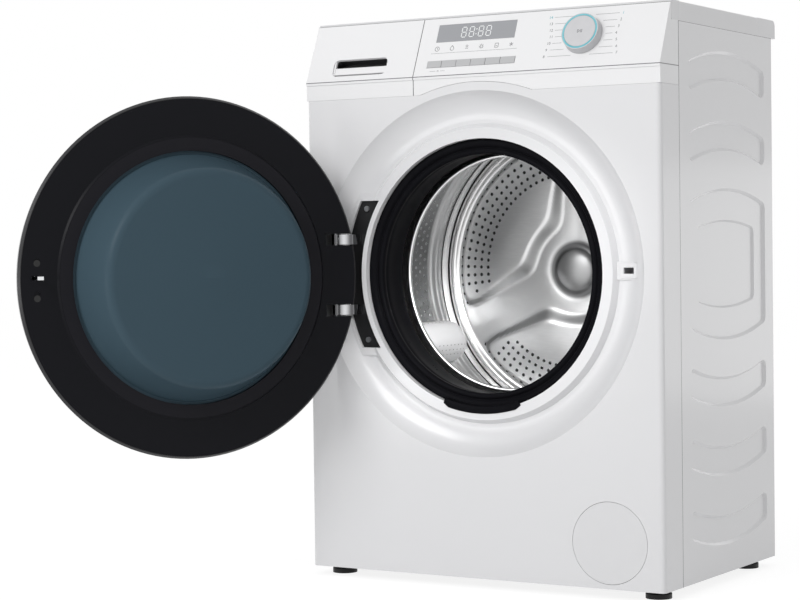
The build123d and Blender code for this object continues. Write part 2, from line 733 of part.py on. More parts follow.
with BuildPart() as left_side_panel:
    mirror(right_side_panel.part, about=Plane.YZ)
left_side_panel.part.label = "left_side_panel"
export_step(left_side_panel.part, "parts/left_side_panel.step")

# Front panel: bent sheet, arch under the control panel, dished mouth, hinge pocket and openings
with BuildPart() as front_panel:
    with BuildSketch(Plane.XY.offset(GROUND_GAP)) as panel_plan:
        with Locations((0, Y_FRONT)):
            Rectangle(WIDTH, FRONT_WRAP, align=(Align.CENTER, Align.MIN))
        fillet(panel_plan.vertices().group_by(Axis.Y)[0], FRONT_EDGE_R)
    extrude(amount=PANEL_SEAM - GROUND_GAP)
    with BuildSketch(Plane.XY.offset(GROUND_GAP)) as room_plan:
        with Locations((0, Y_FRONT + SHEET)):
            Rectangle(2 * X_INNER, FRONT_WRAP, align=(Align.CENTER, Align.MIN))
        fillet(room_plan.vertices().group_by(Axis.Y)[0], FRONT_EDGE_R - SHEET)
    extrude(amount=PANEL_SEAM - GROUND_GAP, mode=Mode.SUBTRACT)
    with BuildSketch(MOUTH):
        Circle(ARCH_R - SEAM)
        with Locations((0, PANEL_SEAM - SHEET - AXIS_HEIGHT)):
            Rectangle(2 * ARCH_R, ARCH_R, align=(Align.CENTER, Align.MIN), mode=Mode.INTERSECT)
    extrude(amount=-SHEET)
    with BuildSketch(MOUTH):
        Circle(DISH_R + DISH_LAP / 2)
    extrude(amount=-SHEET, mode=Mode.SUBTRACT)
    with BuildSketch(MOUTH_SECTION):
        with BuildLine():
            Line((DISH_R + DISH_LAP, 0), (DISH_R, 0))
            ThreePointArc((DISH_R, 0), (DISH_MID_R, DISH_MID_DEPTH), (TROUGH_R, TROUGH_DEPTH))
            Polyline(
                (TROUGH_R, TROUGH_DEPTH),
                (TROUGH_INNER_R, TROUGH_DEPTH),
                (LIP_R, LIP_DEPTH),
                (MOUTH_R, LIP_DEPTH),
                (MOUTH_R, LIP_DEPTH + MOUTH_FLANGE),
                (MOUTH_R + SHEET, LIP_DEPTH + MOUTH_FLANGE),
                (MOUTH_R + SHEET, LIP_DEPTH + SHEET),
                (LIP_R - SHEET / 2, LIP_DEPTH + SHEET),
                (TROUGH_INNER_R - SHEET / 2, TROUGH_DEPTH + SHEET),
                (TROUGH_R, TROUGH_DEPTH + SHEET),
            )
            ThreePointArc(
                (TROUGH_R, TROUGH_DEPTH + SHEET),
                (DISH_MID_R, DISH_MID_DEPTH + SHEET),
                (DISH_R, SHEET),
            )
            Polyline((DISH_R, SHEET), (DISH_R + DISH_LAP, SHEET), (DISH_R + DISH_LAP, 0))
        make_face()
    revolve(axis=DRUM_AXIS)
    extrude(
        hinge_sector(MOUTH.offset(-LAND_DEPTH), LIP_R, LAND_OUTER_R, HINGE_LAND_HALF),
        amount=-(TROUGH_DEPTH + SHEET - LAND_DEPTH),
    )
    with BuildSketch(MOUTH.offset(-LAND_DEPTH)):
        Circle(LAND_OUTER_R)
        Circle(LIP_R, mode=Mode.SUBTRACT)
        with Locations((0, LOCK_UP)):
            Rectangle(
                LAND_OUTER_R, 2 * LOCK_LAND_HALF, align=(Align.MIN, Align.CENTER), mode=Mode.INTERSECT
            )
    extrude(amount=-(TROUGH_DEPTH + SHEET - LAND_DEPTH))
    extrude(
        hinge_sector(
            MOUTH.offset(-LAND_DEPTH), POCKET_INNER_R - SHEET, POCKET_OUTER_R + SHEET, POCKET_HALF + SHEET
        ),
        amount=-(POCKET_DEPTH + SHEET - LAND_DEPTH),
    )
    extrude(
        hinge_sector(
            MOUTH.offset(-LIP_DEPTH), POCKET_INNER_R - SHEET, POCKET_INNER_R, POCKET_HALF + SHEET
        ),
        amount=-(LAND_DEPTH - LIP_DEPTH),
    )
    extrude(
        hinge_sector(MOUTH, POCKET_INNER_R, POCKET_OUTER_R, POCKET_HALF),
        amount=-POCKET_DEPTH,
        mode=Mode.SUBTRACT,
    )
    with BuildSketch(MOUTH.offset(-POCKET_DEPTH)):
        with Locations(*HINGE_SCREWS):
            Circle(SCREW_R + RUN_GAP)
    extrude(amount=-SHEET, mode=Mode.SUBTRACT)
    with BuildSketch(MOUTH):
        with Locations((LOCK_X, LOCK_UP)):
            Rectangle(LOCK_BEZEL_WIDTH + SEAM, LOCK_BEZEL_HEIGHT + SEAM)
    extrude(amount=-(TROUGH_DEPTH + SHEET), mode=Mode.SUBTRACT)
    with BuildSketch(FRONT):
        with Locations((FILTER_X, FILTER_HEIGHT)):
            Circle(FILTER_COVER_R + SHEET)
    extrude(amount=-FILTER_COLLAR)
    with BuildSketch(FRONT):
        with Locations((FILTER_X, FILTER_HEIGHT)):
            Circle(FILTER_COVER_R)
    extrude(amount=-FILTER_COLLAR, mode=Mode.SUBTRACT)
front_panel.part.label = "front_panel"
export_step(front_panel.part, "parts/front_panel.step")

# Back panel with its service opening, transit holes and the openings for water and power
BACK = Plane(origin=(0, Y_BACK, 0), x_dir=(-1, 0, 0), z_dir=(0, 1, 0))
TRANSIT_PLACES = [(x, z) for x in (-TRANSIT_X, TRANSIT_X) for z in (TRANSIT_LOW, TRANSIT_HIGH)]
SERVICE_SCREWS = [
    (side * SERVICE_SCREWS_X / 2, SERVICE_MIDDLE + level * SERVICE_SCREWS_Z)
    for side in (-1, 1)
    for level in (-SERVICE_SCREW_SHARE, 0, SERVICE_SCREW_SHARE)
]

with BuildPart() as back_panel:
    with BuildSketch(BACK):
        with Locations((0, GROUND_GAP)):
            Rectangle(2 * X_INNER, SIDE_TOP - GROUND_GAP, align=(Align.CENTER, Align.MIN))
        with Locations((0, SERVICE_MIDDLE)):
            RectangleRounded(SERVICE_WIDTH, SERVICE_HEIGHT, SERVICE_CORNER, mode=Mode.SUBTRACT)
        with Locations(*TRANSIT_PLACES):
            Circle(TRANSIT_R, mode=Mode.SUBTRACT)
        with Locations(*SERVICE_SCREWS):
            Circle(SCREW_R + RUN_GAP, mode=Mode.SUBTRACT)
        with Locations((-INLET_X, INLET_HEIGHT)):
            Circle(INLET_NECK_R + RUN_GAP, mode=Mode.SUBTRACT)
        with Locations((-GLAND_X, GLAND_HEIGHT)):
            Circle(GLAND_R, mode=Mode.SUBTRACT)
        with Locations((-DRAIN_X, DRAIN_HEIGHT)):
            Circle(DRAIN_R, mode=Mode.SUBTRACT)
    extrude(amount=-SHEET)
back_panel.part.label = "back_panel"
export_step(back_panel.part, "parts/back_panel.step")

with BuildPart() as rear_service_cover:
    with BuildSketch(BACK):
        with Locations((0, SERVICE_MIDDLE)):
            RectangleRounded(
                SERVICE_WIDTH + 2 * SERVICE_LAP, SERVICE_HEIGHT + 2 * SERVICE_LAP, SERVICE_CORNER
            )
        with Locations(*SERVICE_SCREWS):
            Circle(SCREW_R + RUN_GAP, mode=Mode.SUBTRACT)
    extrude(amount=SHEET)
    with BuildSketch(BACK.offset(SHEET)):
        with Locations((0, SERVICE_MIDDLE)):
            RectangleRounded(
                SERVICE_WIDTH - 2 * SERVICE_CORNER, SERVICE_HEIGHT - 2 * SERVICE_CORNER, SERVICE_CORNER
            )
    extrude(amount=SERVICE_RIB, taper=BAND_TAPER)
    with BuildSketch(BACK):
        with Locations((0, SERVICE_MIDDLE)):
            RectangleRounded(
                SERVICE_WIDTH - 2 * (SERVICE_CORNER + SHEET),
                SERVICE_HEIGHT - 2 * (SERVICE_CORNER + SHEET),
                SERVICE_CORNER - SHEET,
            )
    extrude(amount=SERVICE_RIB, taper=BAND_TAPER, mode=Mode.SUBTRACT)
rear_service_cover.part.label = "rear_service_cover"
export_step(rear_service_cover.part, "parts/rear_service_cover.step")

# Pan head screws of the rear cover and of the hinge plate
with BuildPart() as cabinet_screws:
    with BuildSketch(BACK.offset(SHEET)):
        with Locations(*SERVICE_SCREWS):
            Circle(SCREW_HEAD_R)
    extrude(amount=SCREW_HEAD)
    with BuildSketch(BACK.offset(SHEET)):
        with Locations(*SERVICE_SCREWS):
            Circle(SCREW_R)
    extrude(amount=-SCREW_LENGTH)
    with BuildSketch(MOUTH.offset(BRACKET_PLATE - POCKET_DEPTH)):
        with Locations(*HINGE_SCREWS):
            Circle(SCREW_HEAD_R)
    extrude(amount=SCREW_HEAD)
    with BuildSketch(MOUTH.offset(BRACKET_PLATE - POCKET_DEPTH)):
        with Locations(*HINGE_SCREWS):
            Circle(SCREW_R)
    extrude(amount=-SCREW_LENGTH)
cabinet_screws.part.label = "cabinet_screws"
export_step(cabinet_screws.part, "parts/cabinet_screws.step")

# Flat frame that ties the tops of the panels together and carries the springs
TOP_FRAME_LENGTH = DEPTH - SHEET - FRONT_RAIL_END
with BuildPart() as top_frame:
    with BuildSketch(Plane.XY.offset(FRAME_UNDER)):
        with Locations((0, Y_FRONT + FRONT_RAIL_END + TOP_FRAME_LENGTH / 2)):
            Rectangle(2 * X_INNER, TOP_FRAME_LENGTH)
            Rectangle(
                2 * (X_INNER - TOP_FRAME_BAR), TOP_FRAME_LENGTH - 2 * TOP_FRAME_BAR, mode=Mode.SUBTRACT
            )
    extrude(amount=TOP_FRAME_SHEET)
top_frame.part.label = "top_frame"
export_step(top_frame.part, "parts/top_frame.step")

# Worktop: board between a front rail and a rear rail that overhangs the back
with BuildPart() as worktop_board:
    with BuildSketch(Plane.XY.offset(SIDE_TOP)):
        with Locations((0, Y_FRONT + FRONT_RAIL_END)):
            Rectangle(WIDTH, REAR_RAIL_START - FRONT_RAIL_END, align=(Align.CENTER, Align.MIN))
    extrude(amount=WORKTOP)
    fillet(worktop_board.faces().sort_by(Axis.Z)[-1].edges().filter_by(Axis.Y), WORKTOP_EDGE_R)
worktop_board.part.label = "worktop_board"
export_step(worktop_board.part, "parts/worktop_board.step")

with BuildPart() as worktop_rails:
    with BuildSketch(RIGHT_SIDE) as rail_sections:
        with Locations((RAIL_FRONT, SIDE_TOP)):
            Rectangle(FRONT_RAIL_END - RAIL_FRONT, WORKTOP, align=(Align.MIN, Align.MIN))
        fillet(rail_sections.vertices().group_by(Axis.Y)[0].sort_by(Axis.Z)[-1:], WORKTOP_EDGE_R)
        with Locations((REAR_RAIL_START, SIDE_TOP)):
            Rectangle(DEPTH + REAR_OVERHANG - REAR_RAIL_START, WORKTOP, align=(Align.MIN, Align.MIN))
        fillet(rail_sections.vertices().group_by(Axis.Y)[-1].sort_by(Axis.Z)[-1:], REAR_EDGE_R)
    extrude(amount=-WIDTH)
worktop_rails.part.label = "worktop_rails"
export_step(worktop_rails.part, "parts/worktop_rails.step")

# Control panel: slanted fascia, lip, strip arched over the mouth, and right end
PANEL_LEFT = DRAWER_SEAM_X + SEAM / 2
PANEL_WIDTH = X_SIDE - PANEL_LEFT
KEY_ROW_WIDTH = KEY_COUNT * KEY_PITCH
BOARD_POST_X = BOARD_WIDTH / 2 - BOARD_POST_INSET
BOARD_POST_UP = BOARD_HEIGHT / 2 - BOARD_POST_INSET
BOARD_POSTS = [
    (BOARD_X + side * BOARD_POST_X, BOARD_UP + level * BOARD_POST_UP)
    for side in (-1, 1)
    for level in (-1, 1)
]
with BuildPart() as control_panel:
    with BuildSketch(FASCIA):
        with Locations((PANEL_LEFT, 0)):
            Rectangle(PANEL_WIDTH, FASCIA_SLOPE, align=(Align.MIN, Align.MIN))
    extrude(amount=-WALL)
    with BuildSketch(FRONT.offset(FASCIA_LIP)):
        with Locations((PANEL_LEFT, FASCIA_FOOT)):
            Rectangle(PANEL_WIDTH, FASCIA_LIP_HEIGHT, align=(Align.MIN, Align.MAX))
    extrude(amount=-(FASCIA_LIP + WALL))
    with BuildSketch(FRONT):
        with Locations((PANEL_LEFT, FASCIA_FOOT)):
            Rectangle(
                PANEL_WIDTH, FASCIA_FOOT - PANEL_SEAM - SEAM / 2, align=(Align.MIN, Align.MAX)
            )
        with Locations((0, AXIS_HEIGHT)):
            Circle(ARCH_R, mode=Mode.SUBTRACT)
    extrude(amount=-WALL)
    extrude(panel_end(RIGHT_SIDE, SIDE_TOP), amount=-WALL)
    with BuildSketch(FASCIA.offset(-WALL)):
        with Locations(*BOARD_POSTS):
            Circle(BOARD_POST_R)
    extrude(amount=-(BOARD_DEPTH - WALL))
    with BuildSketch(FASCIA):
        with Locations((DISPLAY_X, DISPLAY_UP)):
            Rectangle(DISPLAY_WIDTH + SEAM, DISPLAY_HEIGHT + SEAM)
    extrude(amount=-DISPLAY_THICK, mode=Mode.SUBTRACT)
    with BuildSketch(FASCIA):
        with Locations((KEY_ROW_X, KEY_UP)):
            Rectangle(KEY_ROW_WIDTH + SEAM, KEY_HEIGHT + 2 * RUN_GAP)
        with Locations((DIAL_X, DIAL_UP)):
            Circle(DIAL_SHAFT_R + FIT)
    extrude(amount=-WALL, mode=Mode.SUBTRACT)
control_panel.part.label = "control_panel"
export_step(control_panel.part, "parts/control_panel.step")

with BuildPart() as display_window:
    with BuildSketch(FASCIA):
        with Locations((DISPLAY_X, DISPLAY_UP)):
            Rectangle(DISPLAY_WIDTH, DISPLAY_HEIGHT)
    extrude(amount=-DISPLAY_THICK)
display_window.part.label = "display_window"
export_step(display_window.part, "parts/display_window.step")

with BuildPart() as control_board:
    with BuildSketch(FASCIA.offset(-BOARD_DEPTH)):
        with Locations((BOARD_X, BOARD_UP)):
            Rectangle(BOARD_WIDTH, BOARD_HEIGHT)
    extrude(amount=-BOARD_THICK)
control_board.part.label = "control_board"
export_step(control_board.part, "parts/control_board.step")

# Six keys in one slot, each held behind the fascia by its flange
for number in range(1, KEY_COUNT + 1):
    key_x = KEY_ROW_X + (number - (KEY_COUNT + 1) / 2) * KEY_PITCH
    with BuildPart() as option_key:
        with BuildSketch(FASCIA.offset(KEY_PROUD)):
            with Locations((key_x, KEY_UP)):
                Rectangle(KEY_PITCH - KEY_GAP, KEY_HEIGHT)
        extrude(amount=-(KEY_PROUD + WALL + RUN_GAP))
        with BuildSketch(FASCIA.offset(-(WALL + RUN_GAP))):
            with Locations((key_x, KEY_UP)):
                Rectangle(KEY_PITCH - KEY_GAP, KEY_HEIGHT + 2 * KEY_FLANGE)
        extrude(amount=-(BOARD_DEPTH - WALL - 2 * RUN_GAP - KEY_TRAVEL))
    option_key.part.label = f"option_key_{number}"
    export_step(option_key.part, f"parts/option_key_{number}.step")

# Program dial with its lit ring and the start button in its middle
with BuildPart() as program_dial:
    with BuildSketch(FASCIA.offset(RUN_GAP)):
        with Locations((DIAL_X, DIAL_UP)):
            Circle(DIAL_R)
    with BuildSketch(FASCIA.offset(DIAL_HEIGHT)):
        with Locations((DIAL_X, DIAL_UP)):
            Circle(DIAL_TOP_R)
    loft()
    with BuildSketch(FASCIA.offset(DIAL_HEIGHT)):
        with Locations((DIAL_X, DIAL_UP)):
            Circle(START_R + RING_WIDTH)
    extrude(amount=-RING_THICK, mode=Mode.SUBTRACT)
    with BuildSketch(FASCIA.offset(DIAL_HEIGHT)):
        with Locations((DIAL_X, DIAL_UP)):
            Circle(START_R + RUN_GAP)
    extrude(amount=-(DIAL_HEIGHT - DIAL_FLOOR), mode=Mode.SUBTRACT)
    with BuildSketch(FASCIA.offset(RUN_GAP)):
        with Locations((DIAL_X, DIAL_UP)):
            Circle(DIAL_SHAFT_R)
    extrude(amount=-(BOARD_DEPTH))
program_dial.part.label = "program_dial"
export_step(program_dial.part, "parts/program_dial.step")

with BuildPart() as dial_ring:
    with BuildSketch(FASCIA.offset(DIAL_HEIGHT)):
        with Locations((DIAL_X, DIAL_UP)):
            Circle(START_R + RING_WIDTH)
            Circle(START_R + RUN_GAP, mode=Mode.SUBTRACT)
    extrude(amount=-RING_THICK)
dial_ring.part.label = "dial_ring"
export_step(dial_ring.part, "parts/dial_ring.step")

with BuildPart() as start_button:
    with BuildSketch(FASCIA.offset(DIAL_HEIGHT)):
        with Locations((DIAL_X, DIAL_UP)):
            Circle(START_R)
    extrude(amount=-RING_THICK)
    with BuildSketch(FASCIA.offset(DIAL_HEIGHT)):
        with Locations((DIAL_X, DIAL_UP)):
            Circle(START_STEM_R)
    extrude(amount=-(DIAL_HEIGHT - DIAL_FLOOR - START_TRAVEL - RUN_GAP))
start_button.part.label = "start_button"
export_step(start_button.part, "parts/start_button.step")

# Drawer front: the fascia's left end, with a finger recess, its grip bar and the carrier of the tray
DRAWER_RIGHT = DRAWER_SEAM_X - SEAM / 2
DRAWER_WIDTH = DRAWER_RIGHT + X_SIDE
CARRIER_LOW = TRAY_BOTTOM - CARRIER_MARGIN
CARRIER_HIGH = TRAY_BOTTOM + TRAY_HEIGHT + CARRIER_MARGIN
CARRIER_HALF = TRAY_WIDTH / 2
with BuildPart() as drawer_front:
    with BuildSketch(FASCIA):
        with Locations((-X_SIDE, 0)):
            Rectangle(DRAWER_WIDTH, FASCIA_SLOPE, align=(Align.MIN, Align.MIN))
    extrude(amount=-WALL)
    with BuildSketch(FRONT.offset(FASCIA_LIP)):
        with Locations((-X_SIDE, FASCIA_FOOT)):
            Rectangle(DRAWER_WIDTH, FASCIA_LIP_HEIGHT, align=(Align.MIN, Align.MAX))
    extrude(amount=-(FASCIA_LIP + WALL))
    with BuildSketch(FRONT):
        with Locations((-X_SIDE, FASCIA_FOOT)):
            Rectangle(
                DRAWER_WIDTH, FASCIA_FOOT - PANEL_SEAM - SEAM / 2, align=(Align.MIN, Align.MAX)
            )
    extrude(amount=-WALL)
    extrude(panel_end(LEFT_SIDE, SIDE_TOP - SEAM), amount=WALL)
    with BuildSketch(FASCIA):
        with Locations((RECESS_X, RECESS_UP)):
            RectangleRounded(RECESS_WIDTH + 2 * WALL, RECESS_HEIGHT + 2 * WALL, RECESS_CORNER + WALL)
    extrude(amount=-(RECESS_DEPTH + WALL))
    with BuildSketch(FASCIA):
        with Locations((RECESS_X, RECESS_UP)):
            RectangleRounded(RECESS_WIDTH, RECESS_HEIGHT, RECESS_CORNER)
    extrude(amount=-RECESS_DEPTH, mode=Mode.SUBTRACT)
    with BuildSketch(FASCIA.offset(-GRIP_FRONT)):
        with Locations((RECESS_X, GRIP_UP)):
            Rectangle(RECESS_WIDTH, GRIP_HEIGHT)
    extrude(amount=-GRIP_THICK)
    for rib_x in (TRAY_X - CARRIER_HALF, TRAY_X + CARRIER_HALF - WALL):
        rib_plane = Plane(origin=(rib_x, Y_FRONT, 0), x_dir=(0, 1, 0), z_dir=(1, 0, 0))
        with BuildSketch(rib_plane):
            with BuildLine():
                Polyline(
                    (WALL / 2, CARRIER_LOW),
                    (CARRIER_DEPTH + WALL / 2, CARRIER_LOW),
                    (CARRIER_DEPTH + WALL / 2, CARRIER_HIGH),
                    ((CARRIER_HIGH - FASCIA_FOOT) * FASCIA_SETBACK / FASCIA_RISE, CARRIER_HIGH),
                    (WALL / 2, FASCIA_FOOT),
                    close=True,
                )
            make_face()
        extrude(amount=WALL)
    with BuildSketch(FRONT.offset(-CARRIER_DEPTH)):
        with Locations((TRAY_X, CARRIER_LOW)):
            Rectangle(
                TRAY_WIDTH, CARRIER_HIGH - CARRIER_LOW, align=(Align.CENTER, Align.MIN)
            )
    extrude(amount=-WALL)
drawer_front.part.label = "drawer_front"
export_step(drawer_front.part, "parts/drawer_front.step")

# Detergent tray: a front bay and two rear bays
REAR_BAY_WIDTH = (TRAY_WIDTH - 3 * TRAY_WALL) / 2
REAR_BAY_LENGTH = TRAY_LENGTH - 3 * TRAY_WALL - TRAY_FRONT_BAY
TRAY_FLOOR = Plane(origin=(TRAY_X, Y_FRONT + TRAY_START, TRAY_BOTTOM))
with BuildPart() as detergent_tray:
    with BuildSketch(TRAY_FLOOR):
        Rectangle(TRAY_WIDTH, TRAY_LENGTH, align=(Align.CENTER, Align.MIN))
    extrude(amount=TRAY_HEIGHT)
    with BuildSketch(TRAY_FLOOR.offset(TRAY_WALL)):
        with Locations((0, TRAY_WALL)):
            Rectangle(TRAY_WIDTH - 2 * TRAY_WALL, TRAY_FRONT_BAY, align=(Align.CENTER, Align.MIN))
        with Locations((0, TRAY_FRONT_BAY + 2 * TRAY_WALL)):
            with GridLocations(REAR_BAY_WIDTH + TRAY_WALL, 0, 2, 1):
                Rectangle(REAR_BAY_WIDTH, REAR_BAY_LENGTH, align=(Align.CENTER, Align.MIN))
    extrude(amount=TRAY_HEIGHT, mode=Mode.SUBTRACT)
detergent_tray.part.label = "detergent_tray"
export_step(detergent_tray.part, "parts/detergent_tray.step")

# Dispenser housing, open to the front, hung from the top frame
HOUSING_WIDTH = TRAY_WIDTH + 2 * (HOUSING_SIDE_GAP + TRAY_WALL)
HOUSING_BOTTOM = TRAY_BOTTOM - RUN_GAP - TRAY_WALL
HOUSING_TOP = TRAY_BOTTOM + TRAY_HEIGHT + HOUSING_HEAD + TRAY_WALL
with BuildPart() as dispenser_housing:
    with BuildSketch(FRONT.offset(-HOUSING_START)):
        with Locations((TRAY_X, HOUSING_BOTTOM)):
            Rectangle(HOUSING_WIDTH, HOUSING_TOP - HOUSING_BOTTOM, align=(Align.CENTER, Align.MIN))
    extrude(amount=-HOUSING_LENGTH)
    with BuildSketch(FRONT.offset(-HOUSING_START)):
        with Locations((TRAY_X, HOUSING_BOTTOM + TRAY_WALL)):
            Rectangle(
                HOUSING_WIDTH - 2 * TRAY_WALL,
                HOUSING_TOP - HOUSING_BOTTOM - 2 * TRAY_WALL,
                align=(Align.CENTER, Align.MIN),
            )
    extrude(amount=-(HOUSING_LENGTH - TRAY_WALL), mode=Mode.SUBTRACT)
    with BuildSketch(Plane.XY.offset(HOUSING_TOP)):
        with Locations((TRAY_X, Y_FRONT + FRONT_RAIL_END + HOUSING_POST / 2)):
            with GridLocations(TRAY_WIDTH - HOUSING_POST, 0, 2, 1):
                Rectangle(HOUSING_POST, HOUSING_POST)
    extrude(amount=FRAME_UNDER - HOUSING_TOP)
    with BuildSketch(Plane.XY.offset(HOUSING_BOTTOM)):
        with Locations((WATER_X, Y_FRONT + WATER_DEPTH)):
            Circle(SPOUT_R)
    extrude(amount=-WATER_SPOUT)
    with BuildSketch(Plane.XY.offset(HOUSING_BOTTOM + TRAY_WALL)):
        with Locations((WATER_X, Y_FRONT + WATER_DEPTH)):
            Circle(SPOUT_BORE_R)
    extrude(amount=-(WATER_SPOUT + TRAY_WALL), mode=Mode.SUBTRACT)
dispenser_housing.part.label = "dispenser_housing"
export_step(dispenser_housing.part, "parts/dispenser_housing.step")

# Water inlet valve: threaded spigot through the back, body inside, nozzle to the dispenser
INLET = Plane(origin=(INLET_X, Y_BACK, INLET_HEIGHT), x_dir=(-1, 0, 0), z_dir=(0, 1, 0))
with BuildPart() as inlet_valve:
    with BuildSketch(INLET.offset(-SHEET)):
        Rectangle(INLET_BODY, INLET_BODY)
    extrude(amount=-INLET_BODY_DEPTH)
    with BuildSketch(INLET.offset(-SHEET)):
        Circle(INLET_NECK_R)
    extrude(amount=SHEET)
    with BuildSketch(INLET):
        Circle(INLET_THREAD_R)
    extrude(amount=INLET_THREAD_LENGTH)
    with BuildSketch(INLET.offset(-SHEET - INLET_BODY_DEPTH)):
        Circle(INLET_NOZZLE_R)
    extrude(amount=-(DEPTH - HOUSING_BACK - SHEET - INLET_BODY_DEPTH))
    with BuildSketch(INLET.offset(INLET_THREAD_LENGTH)):
        Circle(INLET_BORE_R)
    extrude(amount=-INLET_BODY_DEPTH, mode=Mode.SUBTRACT)
inlet_valve.part.label = "inlet_valve"
export_step(inlet_valve.part, "parts/inlet_valve.step")

# Gland of the mains lead and grommet of the drain hose
with BuildPart() as rear_grommets:
    for hole_x, hole_z, hole_r, bore_r in (
        (GLAND_X, GLAND_HEIGHT, GLAND_R, GLAND_BORE_R),
        (DRAIN_X, DRAIN_HEIGHT, DRAIN_R, DRAIN_BORE_R),
    ):
        hole_plane = Plane(origin=(hole_x, Y_BACK, hole_z), x_dir=(-1, 0, 0), z_dir=(0, 1, 0))
        with BuildSketch(hole_plane):
            Circle(hole_r + GROMMET_FLANGE)
            Circle(bore_r, mode=Mode.SUBTRACT)
        extrude(amount=GROMMET_HEAD)
        with BuildSketch(hole_plane):
            Circle(hole_r)
            Circle(bore_r, mode=Mode.SUBTRACT)
        extrude(amount=-(SHEET + GROMMET_HEAD))
rear_grommets.part.label = "rear_grommets"
export_step(rear_grommets.part, "parts/rear_grommets.step")

# Door seal: bead inside the mouth's flange, fold inward to the tip, back over the tub's collar, and a
# drain tab over the lip at the bottom
GASKET_REAR_R = TUB_MOUTH_R + TUB_WALL + RUN_GAP
GASKET_SECTION = [
    (GASKET_OUTER_R, GASKET_FRONT),
    (GASKET_INNER_R + GASKET_THICK, GASKET_FRONT),
    (GASKET_INNER_R, GASKET_FRONT + GASKET_THICK),
    (GASKET_ROOT_R, GASKET_ROOT_DEPTH),
    (GASKET_TIP_R, GASKET_TIP_DEPTH),
    (GASKET_TIP_R + GASKET_THICK, GASKET_TIP_DEPTH),
    (GASKET_ROOT_R + GASKET_THICK, GASKET_ROOT_DEPTH + GASKET_THICK),
    (GASKET_ROOT_R + 2 * GASKET_THICK, GASKET_ROOT_DEPTH + GASKET_THICK / 2),
    (GASKET_REAR_R, GASKET_TIP_DEPTH),
    (GASKET_REAR_R, TUB_FRONT - RUN_GAP),
    (GASKET_REAR_R + GASKET_THICK, TUB_FRONT - RUN_GAP),
    (GASKET_REAR_R + GASKET_THICK, GASKET_TIP_DEPTH - GASKET_THICK / 2),
    (GASKET_ROOT_R + 3 * GASKET_THICK, GASKET_ROOT_DEPTH - GASKET_THICK / 2),
    (GASKET_ROOT_R + 2 * GASKET_THICK, GASKET_ROOT_DEPTH - GASKET_THICK),
    (GASKET_INNER_R + GASKET_THICK, GASKET_FRONT + 2 * GASKET_THICK),
    (GASKET_OUTER_R, GASKET_FRONT + GASKET_THICK),
]
with BuildPart() as gasket:
    with BuildSketch(MOUTH_SECTION):
        with BuildLine():
            FilletPolyline(*GASKET_SECTION, radius=GASKET_FOLD_R, close=True)
        make_face()
    revolve(axis=DRUM_AXIS)
    tab_front = MOUTH.offset(GASKET_DRAIN_THICK - LIP_DEPTH)
    tab_length = GASKET_DRAIN_THICK + GASKET_SETBACK + GASKET_THICK / 2
    for outer_r, length in (
        (MOUTH_R + GASKET_DRAIN_LAP, GASKET_DRAIN_THICK),
        (GASKET_OUTER_R, tab_length),
    ):
        with BuildSketch(tab_front):
            Circle(outer_r)
            Circle(GASKET_OUTER_R - GASKET_THICK, mode=Mode.SUBTRACT)
            with Locations((0, -MOUTH_R)):
                Rectangle(GASKET_DRAIN_WIDTH, MOUTH_R / 2, mode=Mode.INTERSECT)
        extrude(amount=-length)
gasket.part.label = "gasket"
export_step(gasket.part, "parts/gasket.step")

# Hinge bracket: plate in the pocket with two cranked arms and their knuckles
with BuildPart() as hinge_bracket:
    extrude(
        hinge_sector(
            MOUTH.offset(BRACKET_PLATE - POCKET_DEPTH),
            POCKET_INNER_R + SEAM,
            POCKET_OUTER_R - SEAM,
            POCKET_HALF - SEAM,
        ),
        amount=-BRACKET_PLATE,
    )
    with BuildSketch(MOUTH):
        with Locations(*HINGE_SCREWS):
            Circle(SCREW_R + RUN_GAP)
    extrude(amount=-POCKET_DEPTH, mode=Mode.SUBTRACT)
    for level in ARM_LEVELS:
        arm_plane = Plane.XY.offset(AXIS_HEIGHT + level - ARM_HEIGHT / 2)
        with BuildSketch(arm_plane):
            with BuildLine():
                Polyline(
                    (ARM_ROOT_X, Y_FRONT + POCKET_DEPTH - BRACKET_PLATE / 2),
                    (ARM_ELBOW_X, Y_FRONT + ARM_ELBOW_DEPTH),
                    (HINGE_POINT.X, HINGE_POINT.Y),
                )
            trace(line_width=ARM_THICK)
            with Locations((HINGE_POINT.X, HINGE_POINT.Y)):
                Circle(KNUCKLE_R)
                Circle(PIN_R + FIT, mode=Mode.SUBTRACT)
        extrude(amount=ARM_HEIGHT)
hinge_bracket.part.label = "hinge_bracket"
export_step(hinge_bracket.part, "parts/hinge_bracket.step")

with BuildPart() as hinge_pins:
    for level in ARM_LEVELS:
        pin_plane = Plane(origin=(HINGE_POINT.X, HINGE_POINT.Y, AXIS_HEIGHT + level))
        with BuildSketch(pin_plane.offset(-ARM_HEIGHT / 2 - PIN_EXTRA)):
            Circle(PIN_R)
        extrude(amount=ARM_HEIGHT + 2 * PIN_EXTRA)
hinge_pins.part.label = "hinge_pins"
export_step(hinge_pins.part, "parts/hinge_pins.step")

